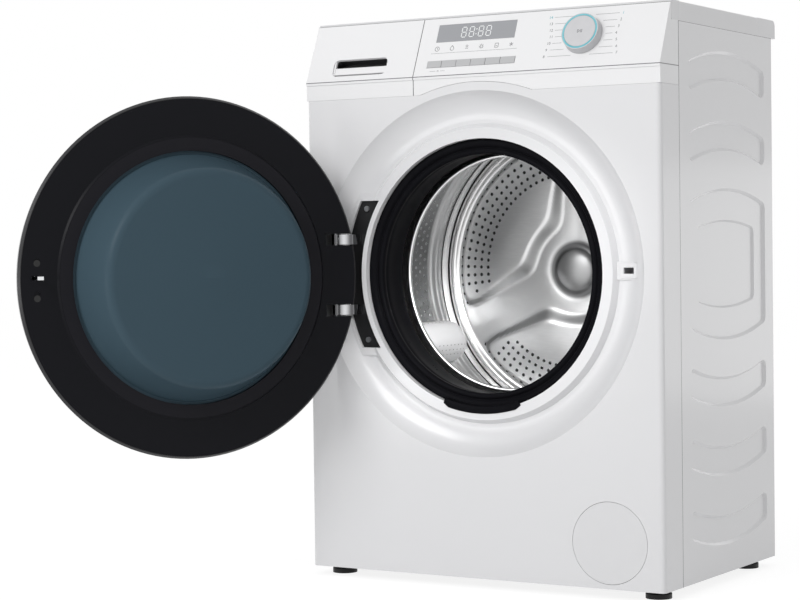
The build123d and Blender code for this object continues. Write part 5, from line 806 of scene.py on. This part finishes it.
# Sheen of the drum back, which also paints highlights on the creases and shade on the flanks and in the
# groove. Flanks are measured by the share of their width, 0 at the foot and 1 at the top
SHOULDER = (0.95, 0.2)
FOOT = (-0.05, 0.16)
FLANK_FOOT = (0.05, 0.3)
FLANK_TOP = (0.7, 0.95)
STAR_EDGE = (0.0, 0.5)
PAD_SHEEN = 0.57
STAR_SHEEN = 0.33
CREASE_HIGHLIGHT = 0.3
FLANK_SHADE = 0.4
RIM_SHEEN = 0.4
HUB_SHEEN = 0.2
GROOVE_SHADE = 0.6


def pad_inside(radius, angle):
    """Distance inside the edge of the nearest pad, negative on the star, with rounded corners."""
    sides = [PAD_OUTER_R - radius, radius - STAR_HUB_R]
    for arm in STAR_ANGLES:
        along = radius * math.cos(angle - arm)
        if along > -STAR_HUB_R:
            share = min(max(along / BACK_R, 0.0), 1.0)
            half = STAR_INNER_HALF + (STAR_OUTER_HALF - STAR_INNER_HALF) * share
            sides.append(math.hypot(radius * math.sin(angle - arm), min(along, 0.0), STAR_CREASE) - half)
    return -PAD_ROUND * math.log(sum(math.exp(-side / PAD_ROUND) for side in sides))


def flank_width(radius):
    """Width of a pad's sloping flank, broad near the hub and narrow at the rim."""
    return FLANK_BROAD - (FLANK_BROAD - FLANK_NARROW) * smoothstep(*FLANK_RADII, radius)


def back_relief(radius, angle):
    """Height of the pressed back towards the mouth, and its sheen there, with painted highlights and painted
    shade.
    """
    inside = pad_inside(radius, angle)
    share = inside / flank_width(radius)
    bead = ridge(radius, RIM_BEAD_R, RIM_BEAD_WIDTH)
    groove = ridge(radius, GROOVE_R, GROOVE_WIDTH)
    height = PAD_RAISE * smoothstep(0.0, 1.0, share) + PAD_CROWN * smoothstep(0.0, CROWN_RUN, inside)
    height += STAR_FLOOR - STAR_DIP * min(inside, 0.0) ** 2 + RIM_BEAD * bead
    if radius < HUB_R:
        height = max(height, HUB_RAISE * math.sqrt(1 - (radius / HUB_R) ** 2))
    # Painted light: highlights on the star's edge, the rim bead and the creases; painted shade on the
    # flanks, round the hub and in the groove.
    flank = smoothstep(*FLANK_FOOT, share) * (1 - smoothstep(*FLANK_TOP, share))
    sheen_and_shade = PAD_SHEEN + STAR_SHEEN * smoothstep(*STAR_EDGE, -share) + RIM_SHEEN * bead
    sheen_and_shade += CREASE_HIGHLIGHT * (ridge(share, *SHOULDER) + ridge(share, *FOOT)) - FLANK_SHADE * flank
    near_hub = 1 - smoothstep(HUB_R - HUB_EDGE, STAR_HUB_R, radius)
    sheen_and_shade += (HUB_SHEEN - sheen_and_shade) * near_hub - GROOVE_SHADE * groove
    return height - GROOVE_DEPTH * groove, min(max(sheen_and_shade, 0.0), 1.0)


def drum_back():
    """The pressed plate as one closed sheet, from the middle in front over the rim to the middle behind."""
    rings = range(1, BACK_RINGS + 1)
    rows = [(ring, 0.0) for ring in rings] + [(ring, PLATE_THICK) for ring in reversed(rings)]
    corners = []
    sheen_and_shade = []

    def add_corner(radius, angle, side):
        height, bright = back_relief(radius, angle)
        corners.append(at_mouth(radius, angle, DRUM_BACK_DEPTH - height + side))
        sheen_and_shade.append(bright)

    for ring, side in rows:
        for step in range(BACK_TURNS):
            add_corner(BACK_R * ring / BACK_RINGS, math.tau * step / BACK_TURNS, side)
    faces = ring_grid(len(rows), BACK_TURNS, False)
    for start, side in ((0, 0.0), (len(corners) - BACK_TURNS, PLATE_THICK)):
        middle = len(corners)
        add_corner(0, 0, side)
        faces += [(start + step, start + (step + 1) % BACK_TURNS, middle) for step in range(BACK_TURNS)]
    mesh = mesh_from("pressed_drum_back", corners, faces)
    store_sheen_and_shade(mesh, sheen_and_shade)
    piece = new_piece("pressed_drum_back", mesh, "drum", "drum")
    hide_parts("drum_back")


drum_back()


# Lifters, three moulded paddles with rounded ends

LIFTER_FIRST = 119.0
LIFTER_LAST = 271.0
LIFTER_HEIGHT = 45.0
LIFTER_HALF = 33.0
LIFTER_STATIONS = 40
LIFTER_ARC = 28
LIFTER_END_POWER = 4.5
LIFTER_END_ROUND = 0.4
LIFTER_END_SHARE = 0.55
LIFTER_SIDE_ROUND = 0.75
LIFTER_TOP_ROUND = 0.9


def lifter_point(lifter, along, about):
    """Point on a lifter, by the share of its length and the turn over its section."""
    depth = LIFTER_FIRST + (LIFTER_LAST - LIFTER_FIRST) * along
    rounding = max(1 - abs(2 * along - 1) ** LIFTER_END_POWER, 0.0) ** LIFTER_END_ROUND
    half = LIFTER_HALF * (LIFTER_END_SHARE + (1 - LIFTER_END_SHARE) * rounding)
    turn = math.pi * about
    beside = half * math.copysign(abs(math.cos(turn)) ** LIFTER_SIDE_ROUND, math.cos(turn))
    height = LIFTER_HEIGHT * rounding * abs(math.sin(turn)) ** LIFTER_TOP_ROUND
    radius = math.sqrt(DRUM_R**2 - beside**2) - height
    out = Vector((math.cos(lifter), 0, math.sin(lifter)))
    across = Vector((-math.sin(lifter), 0, math.cos(lifter)))
    place = (out * radius + across * beside) * MM
    return place + Vector((0, Y_FRONT + depth * MM, AXIS_HEIGHT))


def lifters():
    """The three paddles as one piece."""
    corners = []
    faces = []
    for lifter in LIFTER_ANGLES:
        first = len(corners)
        for station in range(LIFTER_STATIONS + 1):
            for step in range(LIFTER_ARC + 1):
                corners.append(lifter_point(lifter, station / LIFTER_STATIONS, step / LIFTER_ARC))
        faces += shifted(ring_grid(LIFTER_STATIONS + 1, LIFTER_ARC + 1, False), first)
    piece = new_piece("lifter_paddles", mesh_from("lifter_paddles", corners, faces), "lifter", "drum")
    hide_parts("drum_lifters")


lifters()


# Perforations, placed by a node tree on points that carry their facing

HOLE_SIDES = 12
RIM_SIDES = 4


def perforation_tree(name, material, rim):
    """Node tree that sets a disc, or a rim of the given thickness, on each point, turned to its facing."""
    tree = bpy.data.node_groups.new(name, "GeometryNodeTree")
    tree.interface.new_socket("Geometry", in_out="INPUT", socket_type="NodeSocketGeometry")
    size = tree.interface.new_socket("Hole radius", in_out="INPUT", socket_type="NodeSocketFloat")
    tree.interface.new_socket("Geometry", in_out="OUTPUT", socket_type="NodeSocketGeometry")

    def add(kind, out, settings=None, **inputs):
        return add_node(tree, "GeometryNode" + kind, settings or {}, **inputs).outputs[out]

    given = add_node(tree, "NodeGroupInput", {})
    radius = given.outputs["Hole radius"]
    facing = add("InputNamedAttribute", "Attribute", {"data_type": "FLOAT_VECTOR"}, Name="facing")
    turn = add_node(tree, "FunctionNodeAlignRotationToVector", {"axis": "Z"}, Vector=facing)
    if rim:
        loop = add("CurvePrimitiveCircle", "Curve", Resolution=HOLE_SIDES, Radius=radius)
        wire = add("CurvePrimitiveCircle", "Curve", Resolution=RIM_SIDES, Radius=rim * MM)
        shape = add("CurveToMesh", "Mesh", Curve=loop, Profile_Curve=wire)
    else:
        shape = add("MeshCircle", "Mesh", {"fill_type": "NGON"}, Vertices=HOLE_SIDES, Radius=radius)
    points = {"Points": given.outputs["Geometry"], "Rotation": turn.outputs["Rotation"]}
    copies = add("InstanceOnPoints", "Instances", Instance=shape, **points)
    real = add("RealizeInstances", "Geometry", Geometry=copies)
    painted = add("SetMaterial", "Geometry", Geometry=real, Material=MATERIALS[material])
    add_node(tree, "NodeGroupOutput", {}, Geometry=painted)
    return tree, size.identifier


def perforate(name, points, radius, rim=0.0, body="drum"):
    """A piece of dark discs, or of bright rims, at points with facings."""
    material = "bright" if rim else "hole"
    mesh = bpy.data.meshes.new(name + "_points")
    mesh.from_pydata([place for place, facing in points], [], [])
    facing = mesh.attributes.new("facing", "FLOAT_VECTOR", "POINT")
    for index, (place, direction) in enumerate(points):
        facing.data[index].vector = direction
    seed = placed(name + "_seed", mesh)
    tree, size = perforation_tree(name, material, rim)
    modifier = seed.modifiers.new("perforation", "NODES")
    modifier.node_group = tree
    modifier[size] = radius * MM
    made = plain_mesh(seed)
    made.name = name
    piece = new_piece(name, made, material, body)


HOLE_R = 2.5
BACK_RIM = 0.45
BACK_RIM_R = 2.8
HOLE_ROWS = [205.0 - 12.6 * row for row in range(5)]
HOLE_PITCH = 15.0
HOLE_MARGIN = 5.0
OUTER_ROW_MARGIN = 1.0
HOLE_LIFT = 0.15


def back_holes():
    """Five arcs of holes along the outer edge of each pad."""
    towards_mouth = Vector((0, -1, 0))
    count = int(math.tau * HOLE_ROWS[0] / HOLE_PITCH)
    points = []
    for radius in HOLE_ROWS:
        for step in range(count):
            angle = math.tau * step / count
            outer_row = radius == HOLE_ROWS[0]
            margin = OUTER_ROW_MARGIN if outer_row else HOLE_MARGIN + flank_width(radius)
            if pad_inside(radius, angle) > margin:
                lift = back_relief(radius, angle)[0] + HOLE_LIFT
                points.append((at_mouth(radius, angle, DRUM_BACK_DEPTH - lift), towards_mouth))
    return points


WALL_PITCH = 13.0
WALL_HOLE_R = 1.5
WALL_HOLE_LIFT = 0.2
WALL_RIM = 0.9
WALL_RIM_R = 2.0
LIFTER_CLEAR = 42.0


def wall_holes():
    """Staggered rows of small holes round the drum's wall, clear of the lifters."""
    points = []
    rows = int((WALL_END - WALL_START) / WALL_PITCH)
    count = int(math.tau * DRUM_R / WALL_PITCH)
    for row in range(rows + 1):
        depth = WALL_START + WALL_PITCH * row
        for step in range(count):
            angle = math.tau * (step + 0.5 * (row % 2)) / count
            beside = min(abs(math.remainder(angle - lifter, math.tau)) for lifter in LIFTER_ANGLES)
            if beside * DRUM_R >= LIFTER_CLEAR:
                inward = Vector((-math.cos(angle), 0, -math.sin(angle)))
                points.append((at_mouth(wall_radius(depth) - WALL_HOLE_LIFT, angle, depth), inward))
    return points


LIFTER_DOT_R = 0.9
LIFTER_DOT_ROWS = (0.16, 0.24, 0.32, 0.68, 0.76, 0.84)
LIFTER_DOTS = 11
LIFTER_DOT_FIRST = 0.12
LIFTER_DOT_STEP = 0.076
FACING_STEP = 0.01


def lifter_holes():
    """Rows of small drain holes on both flanks of each lifter."""
    points = []
    for lifter in LIFTER_ANGLES:
        for about in LIFTER_DOT_ROWS:
            for step in range(LIFTER_DOTS):
                along = LIFTER_DOT_FIRST + LIFTER_DOT_STEP * step
                place = lifter_point(lifter, along, about)
                run = lifter_point(lifter, along + FACING_STEP, about) - place
                climb = lifter_point(lifter, along, about + FACING_STEP) - place
                facing = run.cross(climb).normalized()
                middle = Vector((0, place.y, AXIS_HEIGHT))
                if facing.dot(middle - place) < 0:
                    facing = -facing
                points.append((place + facing * (HOLE_LIFT * MM), facing))
    return points


DIMPLE_R = 5.0
DIMPLE_X = 238.0
DIMPLE_OFFSETS = (-25.0, 25.0)
DOOR_FACE_BEHIND = 4.15


def door_dimples():
    """Two dark dimples on the door's inner face, above and below the hook."""
    opening = Matrix.Rotation(-DOOR_OPEN, 3, "Z")
    points = []
    for offset in DIMPLE_OFFSETS:
        shut = Vector((DIMPLE_X * MM, Y_FRONT + DOOR_FACE_BEHIND * MM, AXIS_HEIGHT + offset * MM))
        points.append((HINGE + opening @ (shut - HINGE), opening @ Vector((0, 1, 0))))
    return points


perforate("door_dimples", door_dimples(), DIMPLE_R, body="door")
BACK_HOLES = back_holes()
WALL_HOLES = wall_holes()
perforate("back_perforations", BACK_HOLES, HOLE_R)
perforate("back_perforation_rims", BACK_HOLES, BACK_RIM_R, BACK_RIM)
perforate("wall_perforations", WALL_HOLES, WALL_HOLE_R)
perforate("wall_perforation_rims", WALL_HOLES, WALL_RIM_R, WALL_RIM)
perforate("lifter_perforations", lifter_holes(), LIFTER_DOT_R)


# Prints on the fascia

RING_FEWEST = 6
RING_STEP = 15.0


class Print:
    """Flat ink shapes gathered on the fascia into one piece."""

    def __init__(self):
        self.corners = []
        self.faces = []

    def stroke(self, points, width, closed=False, lift=PRINT_LIFT):
        """A flat bar along each stretch of a line."""
        for (x0, up0), (x1, up1) in zip(points, points[1:] + (points[:1] if closed else [])):
            length = math.hypot(x1 - x0, up1 - up0)
            aside = (up0 - up1) / length * width / 2
            rise = (x1 - x0) / length * width / 2
            bar = [(x0 - aside, up0 - rise), (x1 - aside, up1 - rise)]
            bar += [(x1 + aside, up1 + rise), (x0 + aside, up0 + rise)]
            self.faces += shifted([range(len(bar))], len(self.corners))
            self.corners += [on_fascia(x, up, lift) for x, up in bar]

    def sign(self, x, up, points, width, closed=False, lift=PRINT_LIFT):
        """A line whose points are given from a middle."""
        self.stroke([(x + across, up + rise) for across, rise in points], width, closed, lift)

    def ring(self, x, up, radius, width, start=0.0, sweep=360.0):
        """A ring, or a part of one."""
        count = max(RING_FEWEST, int(sweep / RING_STEP))
        turns = [math.radians(start + sweep * step / count) for step in range(count + 1)]
        self.sign(x, up, [(radius * math.cos(turn), radius * math.sin(turn)) for turn in turns], width)

    def piece(self, name, material="ink", body="cabinet", slot="white_plastic"):
        """Makes the gathered shapes a piece."""
        mesh = bpy.data.meshes.new(name)
        mesh.from_pydata(self.corners, [], self.faces)
        piece = new_piece(name, mesh, material, body)


NUMBER_SIZE = 6.2
NUMBER_CURVE_STEPS = 3


def numbers(name, marks, material):
    """Plain numbers printed on the fascia, as one flat mesh."""
    printed = Print()
    for text, x, up in marks:
        curve = bpy.data.curves.new(name, "FONT")
        curve.body = text
        curve.size = NUMBER_SIZE
        curve.align_x = curve.align_y = "CENTER"
        curve.resolution_u = NUMBER_CURVE_STEPS
        letter = placed(name, curve)
        flat = plain_mesh(letter)
        printed.faces += shifted([face.vertices for face in flat.polygons], len(printed.corners))
        printed.corners += [on_fascia(x + corner.co.x, up + corner.co.y) for corner in flat.vertices]
    printed.piece(name, material)


MARK_ROWS = 7
MARK_STEP = 10.6
MARK_TOP = 84.0
MARK_INNER_R = 35.0
MARK_LEAST = 8.0
MARK_OUTER = 46.0
MARK_SPREAD = 2.0
MARK_LINE = 0.45
NUMBER_GAP = 6.0
DIAL_X = DIAL_CENTRE.x / MM


def dial_marks():
    """Leader lines and numbers on both sides of the dial."""
    lines = Print()
    grey = []
    teal = []
    for side in (-1, 1):
        for row in range(MARK_ROWS):
            up = MARK_TOP - MARK_STEP * row
            rise = up - DIAL_UP
            reach = max(math.sqrt(max(MARK_INNER_R**2 - rise**2, 0.0)), MARK_LEAST)
            outer = MARK_OUTER + MARK_SPREAD * abs(row - MARK_ROWS // 2)
            lines.stroke([(DIAL_X + side * reach, up), (DIAL_X + side * outer, up)], MARK_LINE)
            number = row + 1 if side > 0 else 2 * MARK_ROWS - row
            mark = (str(number), DIAL_X + side * (outer + NUMBER_GAP), up)
            (teal if row == 0 else grey).append(mark)
    lines.piece("dial_leader_lines")
    numbers("dial_numbers", grey, "ink")
    numbers("dial_numbers_teal", teal, "teal_ink")


SEGMENTS = [
    ((0, 1), (0, 2)), ((0, 2), (1, 2)), ((1, 2), (1, 1)), ((0, 1), (1, 1)),
    ((0, 0), (0, 1)), ((0, 0), (1, 0)), ((1, 0), (1, 1)),
]
DIGIT_WIDTH = 7.6
DIGIT_HEIGHT = 8.2
DIGIT_PITCH = 13.0
DIGITS_X = -11.0
DIGIT_PLACES = (-1.6, -0.6, 0.6, 1.6)
SEGMENT_GAP = 0.9
SEGMENT_LINE = 1.3
COLON_UP = 4.0
COLON_R = 0.6
COLON_LINE = 1.2


def display_digits():
    """Four seven-segment digits and a colon."""
    digits = Print()
    for place in DIGIT_PLACES:
        left = DIGITS_X + place * DIGIT_PITCH - DIGIT_WIDTH / 2
        for segment in SEGMENTS:
            start, end = (
                Vector((left + x * DIGIT_WIDTH, DISPLAY_UP + (up - 1) * DIGIT_HEIGHT)) for x, up in segment
            )
            run = (end - start).normalized() * SEGMENT_GAP
            digits.stroke([tuple(start + run), tuple(end - run)], SEGMENT_LINE)
    for up in (-COLON_UP, COLON_UP):
        digits.ring(DIGITS_X, DISPLAY_UP + up, COLON_R, COLON_LINE)
    digits.piece("display_digits", "light_ink", slot="display_grey")


ICON_PLACES = (-72.8, -47.3, -22.0, 2.6, 28.3, 52.7)
ICON_UP = 45.0
ICON_R = 3.6
ICON_LINE = 0.75
CLOCK_HANDS = [(0.0, 2.4), (0.0, 0.0), (1.8, -0.8)]
DROP_SINK = 0.6
DROP_ARC = (130, 280)
DROP_TIP = [(-2.0, 1.7), (0.0, 4.4), (2.0, 1.7)]
WAVE = [(-2.2, 0.0), (0.0, 1.2), (2.2, 0.0)]
WAVE_ROWS = (-2.4, 0.0, 2.4)
SUN_R = 2.0
SUN_RAYS = 8
SUN_RAY = (2.8, 4.2)
PAGE = [(-2.8, -3.4), (-2.8, 3.4), (2.8, 3.4), (2.8, -3.4)]
PAGE_LINE = [(-1.4, -0.8), (1.4, -0.8)]
SPARK_ARMS = 3
SPARK_ARM = (-3.6, 3.6)
SPARK_TURN = 0.5
RULE = [(-82.0, 37.6), (64.0, 37.6)]
RULE_LINE = 0.4
KEY_MARK_UP = 8.0
KEY_MARK_DASHES = ((-78.0, -68.0), (-60.0, -52.0))
KEY_MARK_X = -64.0
KEY_MARK_R = 1.2
PLAY = [(-3.4, -2.6), (-3.4, 2.6), (0.2, 0.0)]
PLAY_LINE = 0.7
PAUSE = [(0.0, -2.6), (0.0, 2.6)]
PAUSE_PLACES = (1.6, 3.4)
PAUSE_LINE = 0.8


def spoke(angle, ends):
    """Short line along a direction, between two distances."""
    return [(reach * math.cos(angle), reach * math.sin(angle)) for reach in ends]


def option_icons():
    """A row of plain symbols under the display, the rule below them and a mark under the keys."""
    icons = Print()
    clock, drop, wave, sun, page, spark = ICON_PLACES
    icons.ring(clock, ICON_UP, ICON_R, ICON_LINE)
    icons.sign(clock, ICON_UP, CLOCK_HANDS, ICON_LINE)
    icons.ring(drop, ICON_UP - DROP_SINK, ICON_R - DROP_SINK, ICON_LINE, *DROP_ARC)
    icons.sign(drop, ICON_UP, DROP_TIP, ICON_LINE)
    for row in WAVE_ROWS:
        icons.sign(wave, ICON_UP + row, WAVE, ICON_LINE)
    icons.ring(sun, ICON_UP, SUN_R, ICON_LINE)
    for ray in range(SUN_RAYS):
        icons.sign(sun, ICON_UP, spoke(math.tau * ray / SUN_RAYS, SUN_RAY), ICON_LINE)
    icons.sign(page, ICON_UP, PAGE, ICON_LINE, True)
    icons.sign(page, ICON_UP, PAGE_LINE, ICON_LINE)
    for arm in range(SPARK_ARMS):
        icons.sign(spark, ICON_UP, spoke(math.pi * arm / SPARK_ARMS + SPARK_TURN, SPARK_ARM), ICON_LINE)
    icons.stroke(RULE, RULE_LINE)
    icons.ring(KEY_MARK_X, KEY_MARK_UP, KEY_MARK_R, MARK_LINE)
    for left, right in KEY_MARK_DASHES:
        icons.stroke([(left, KEY_MARK_UP), (right, KEY_MARK_UP)], RULE_LINE)
    icons.piece("option_icons")


def start_symbol():
    """Start and pause symbol in the middle of the dial."""
    symbol = Print()
    lift = DIAL_HEIGHT + PRINT_LIFT
    symbol.sign(DIAL_X, DIAL_UP, PLAY, PLAY_LINE, True, lift)
    for place in PAUSE_PLACES:
        symbol.sign(DIAL_X + place, DIAL_UP, PAUSE, PAUSE_LINE, False, lift)
    symbol.piece("start_symbol", body="start", slot="dial_silver")


dial_marks()
display_digits()
option_icons()
start_symbol()


# Stage, light and camera

def seen_directly(tree):
    """1 for what the camera sees, directly, mirrored or through glass, and 0 for light on the object."""
    path = add_node(tree, "ShaderNodeLightPath", {})
    total = path.outputs["Is Camera Ray"]
    for ray in ("Is Glossy Ray", "Is Transmission Ray"):
        either = add_node(tree, "ShaderNodeMath", {"operation": "MAXIMUM"}, total, path.outputs[ray])
        total = either.outputs[0]
    return total


FLOOR_REACH = 12.0
STAGE_WHITE = 0.9
CAMERA_SHARE = 0.75
CAMERA_GLOW = 1.15


def stage():
    """White floor that keeps a soft shadow."""
    mesh = bpy.data.meshes.new("floor")
    rim = [(x * FLOOR_REACH, y * FLOOR_REACH, 0) for x, y in ((-1, -1), (1, -1), (1, 1), (-1, 1))]
    mesh.from_pydata(rim, [], [range(len(rim))])
    floor = placed("floor", mesh)
    material = bpy.data.materials.new("floor_white")
    tree = cleared(material)
    share = add_node(tree, "ShaderNodeMath", {"operation": "MULTIPLY"}, seen_directly(tree), CAMERA_SHARE)
    plain = add_node(tree, "ShaderNodeBsdfDiffuse", {}, Color=(STAGE_WHITE, STAGE_WHITE, STAGE_WHITE, 1))
    bright = add_node(tree, "ShaderNodeEmission", {}, Strength=CAMERA_GLOW)
    mixed = add_node(tree, "ShaderNodeMixShader", {}, *(part.outputs[0] for part in (share, plain, bright)))
    add_node(tree, "ShaderNodeOutputMaterial", {}, Surface=mixed.outputs[0])
    mesh.materials.append(material)


WORLD_LIGHT = 0.6


def world():
    """Even white room, brighter to the eye than to the object."""
    scene_world = bpy.data.worlds.new("studio")
    bpy.context.scene.world = scene_world
    tree = cleared(scene_world)
    strength = add_node(tree, "ShaderNodeMapRange", {}, Value=seen_directly(tree), To_Min=WORLD_LIGHT)
    background = add_node(tree, "ShaderNodeBackground", {}, (1, 1, 1, 1), strength.outputs["Result"])
    add_node(tree, "ShaderNodeOutputWorld", {}, Surface=background.outputs[0])


def aim(name, light, place, target):
    """Links a light that looks from a place at a target."""
    holder = placed(name, light)
    holder.location = place
    holder.rotation_euler = (Vector(target) - Vector(place)).to_track_quat("-Z", "Y").to_euler()


def lamp(name, place, target, size, power):
    """Soft rectangular lamp aimed at a point."""
    light = bpy.data.lights.new(name, "AREA")
    light.shape = "RECTANGLE"
    light.size, light.size_y = size
    light.energy = power
    aim(name, light, place, target)


SPOT_BLEND = 0.3
SPOT_SOFT = 0.12


def drum_spot(place, target, spread, power):
    """Narrow lamp that shines through the mouth alone."""
    light = bpy.data.lights.new("drum_spot", "SPOT")
    light.spot_size = math.radians(spread)
    light.spot_blend = SPOT_BLEND
    light.shadow_soft_size = SPOT_SOFT
    light.energy = power
    aim("drum_spot", light, place, target)


stage()
world()

# Lamps: places, targets and sizes in metres, the spot's spread in degrees, power in watts
lamp("key_light", (-0.7, -3.6, 2.4), (0, 0, 0.45), (2.0, 1.6), 62)
lamp("low_fill", (-1.3, -2.4, 0.3), (-0.25, -0.2, 0.08), (0.8, 0.4), 3.2)
lamp("side_strip", (0.72, 1.3, 0.42), (0.3, 0.05, 0.42), (1.2, 0.5), 1.1)
drum_spot((2.0, -2.2, 1.4), (-0.02, -0.18, 0.44), 4.8, 430)

# Camera, fitted to the cabinet's corners and to the open door in the photograph
IMAGE_WIDTH = 800
FOCAL_PIXELS = 2140.9
CAMERA_PLACE = (1.5579, -2.9440, 0.5137)
CAMERA_YAW = 31.70
CAMERA_PITCH = 1.57
CAMERA_ROLL = -0.73
SENSOR = 36.0


def camera():
    """Long-lens camera on the right of the machine, at the height of its drum."""
    data = bpy.data.cameras.new("camera")
    data.sensor_width = SENSOR
    data.lens = FOCAL_PIXELS / IMAGE_WIDTH * SENSOR
    holder = placed("camera", data)
    holder.location = CAMERA_PLACE
    yaw = Matrix.Rotation(math.radians(CAMERA_YAW), 3, "Z")
    pitch = Matrix.Rotation(math.radians(90 - CAMERA_PITCH), 3, "X")
    roll = Matrix.Rotation(math.radians(CAMERA_ROLL), 3, "Z")
    holder.rotation_euler = (yaw @ pitch @ roll).to_euler()
    bpy.context.scene.camera = holder


camera()
bpy.context.scene.view_settings.view_transform = "Standard"
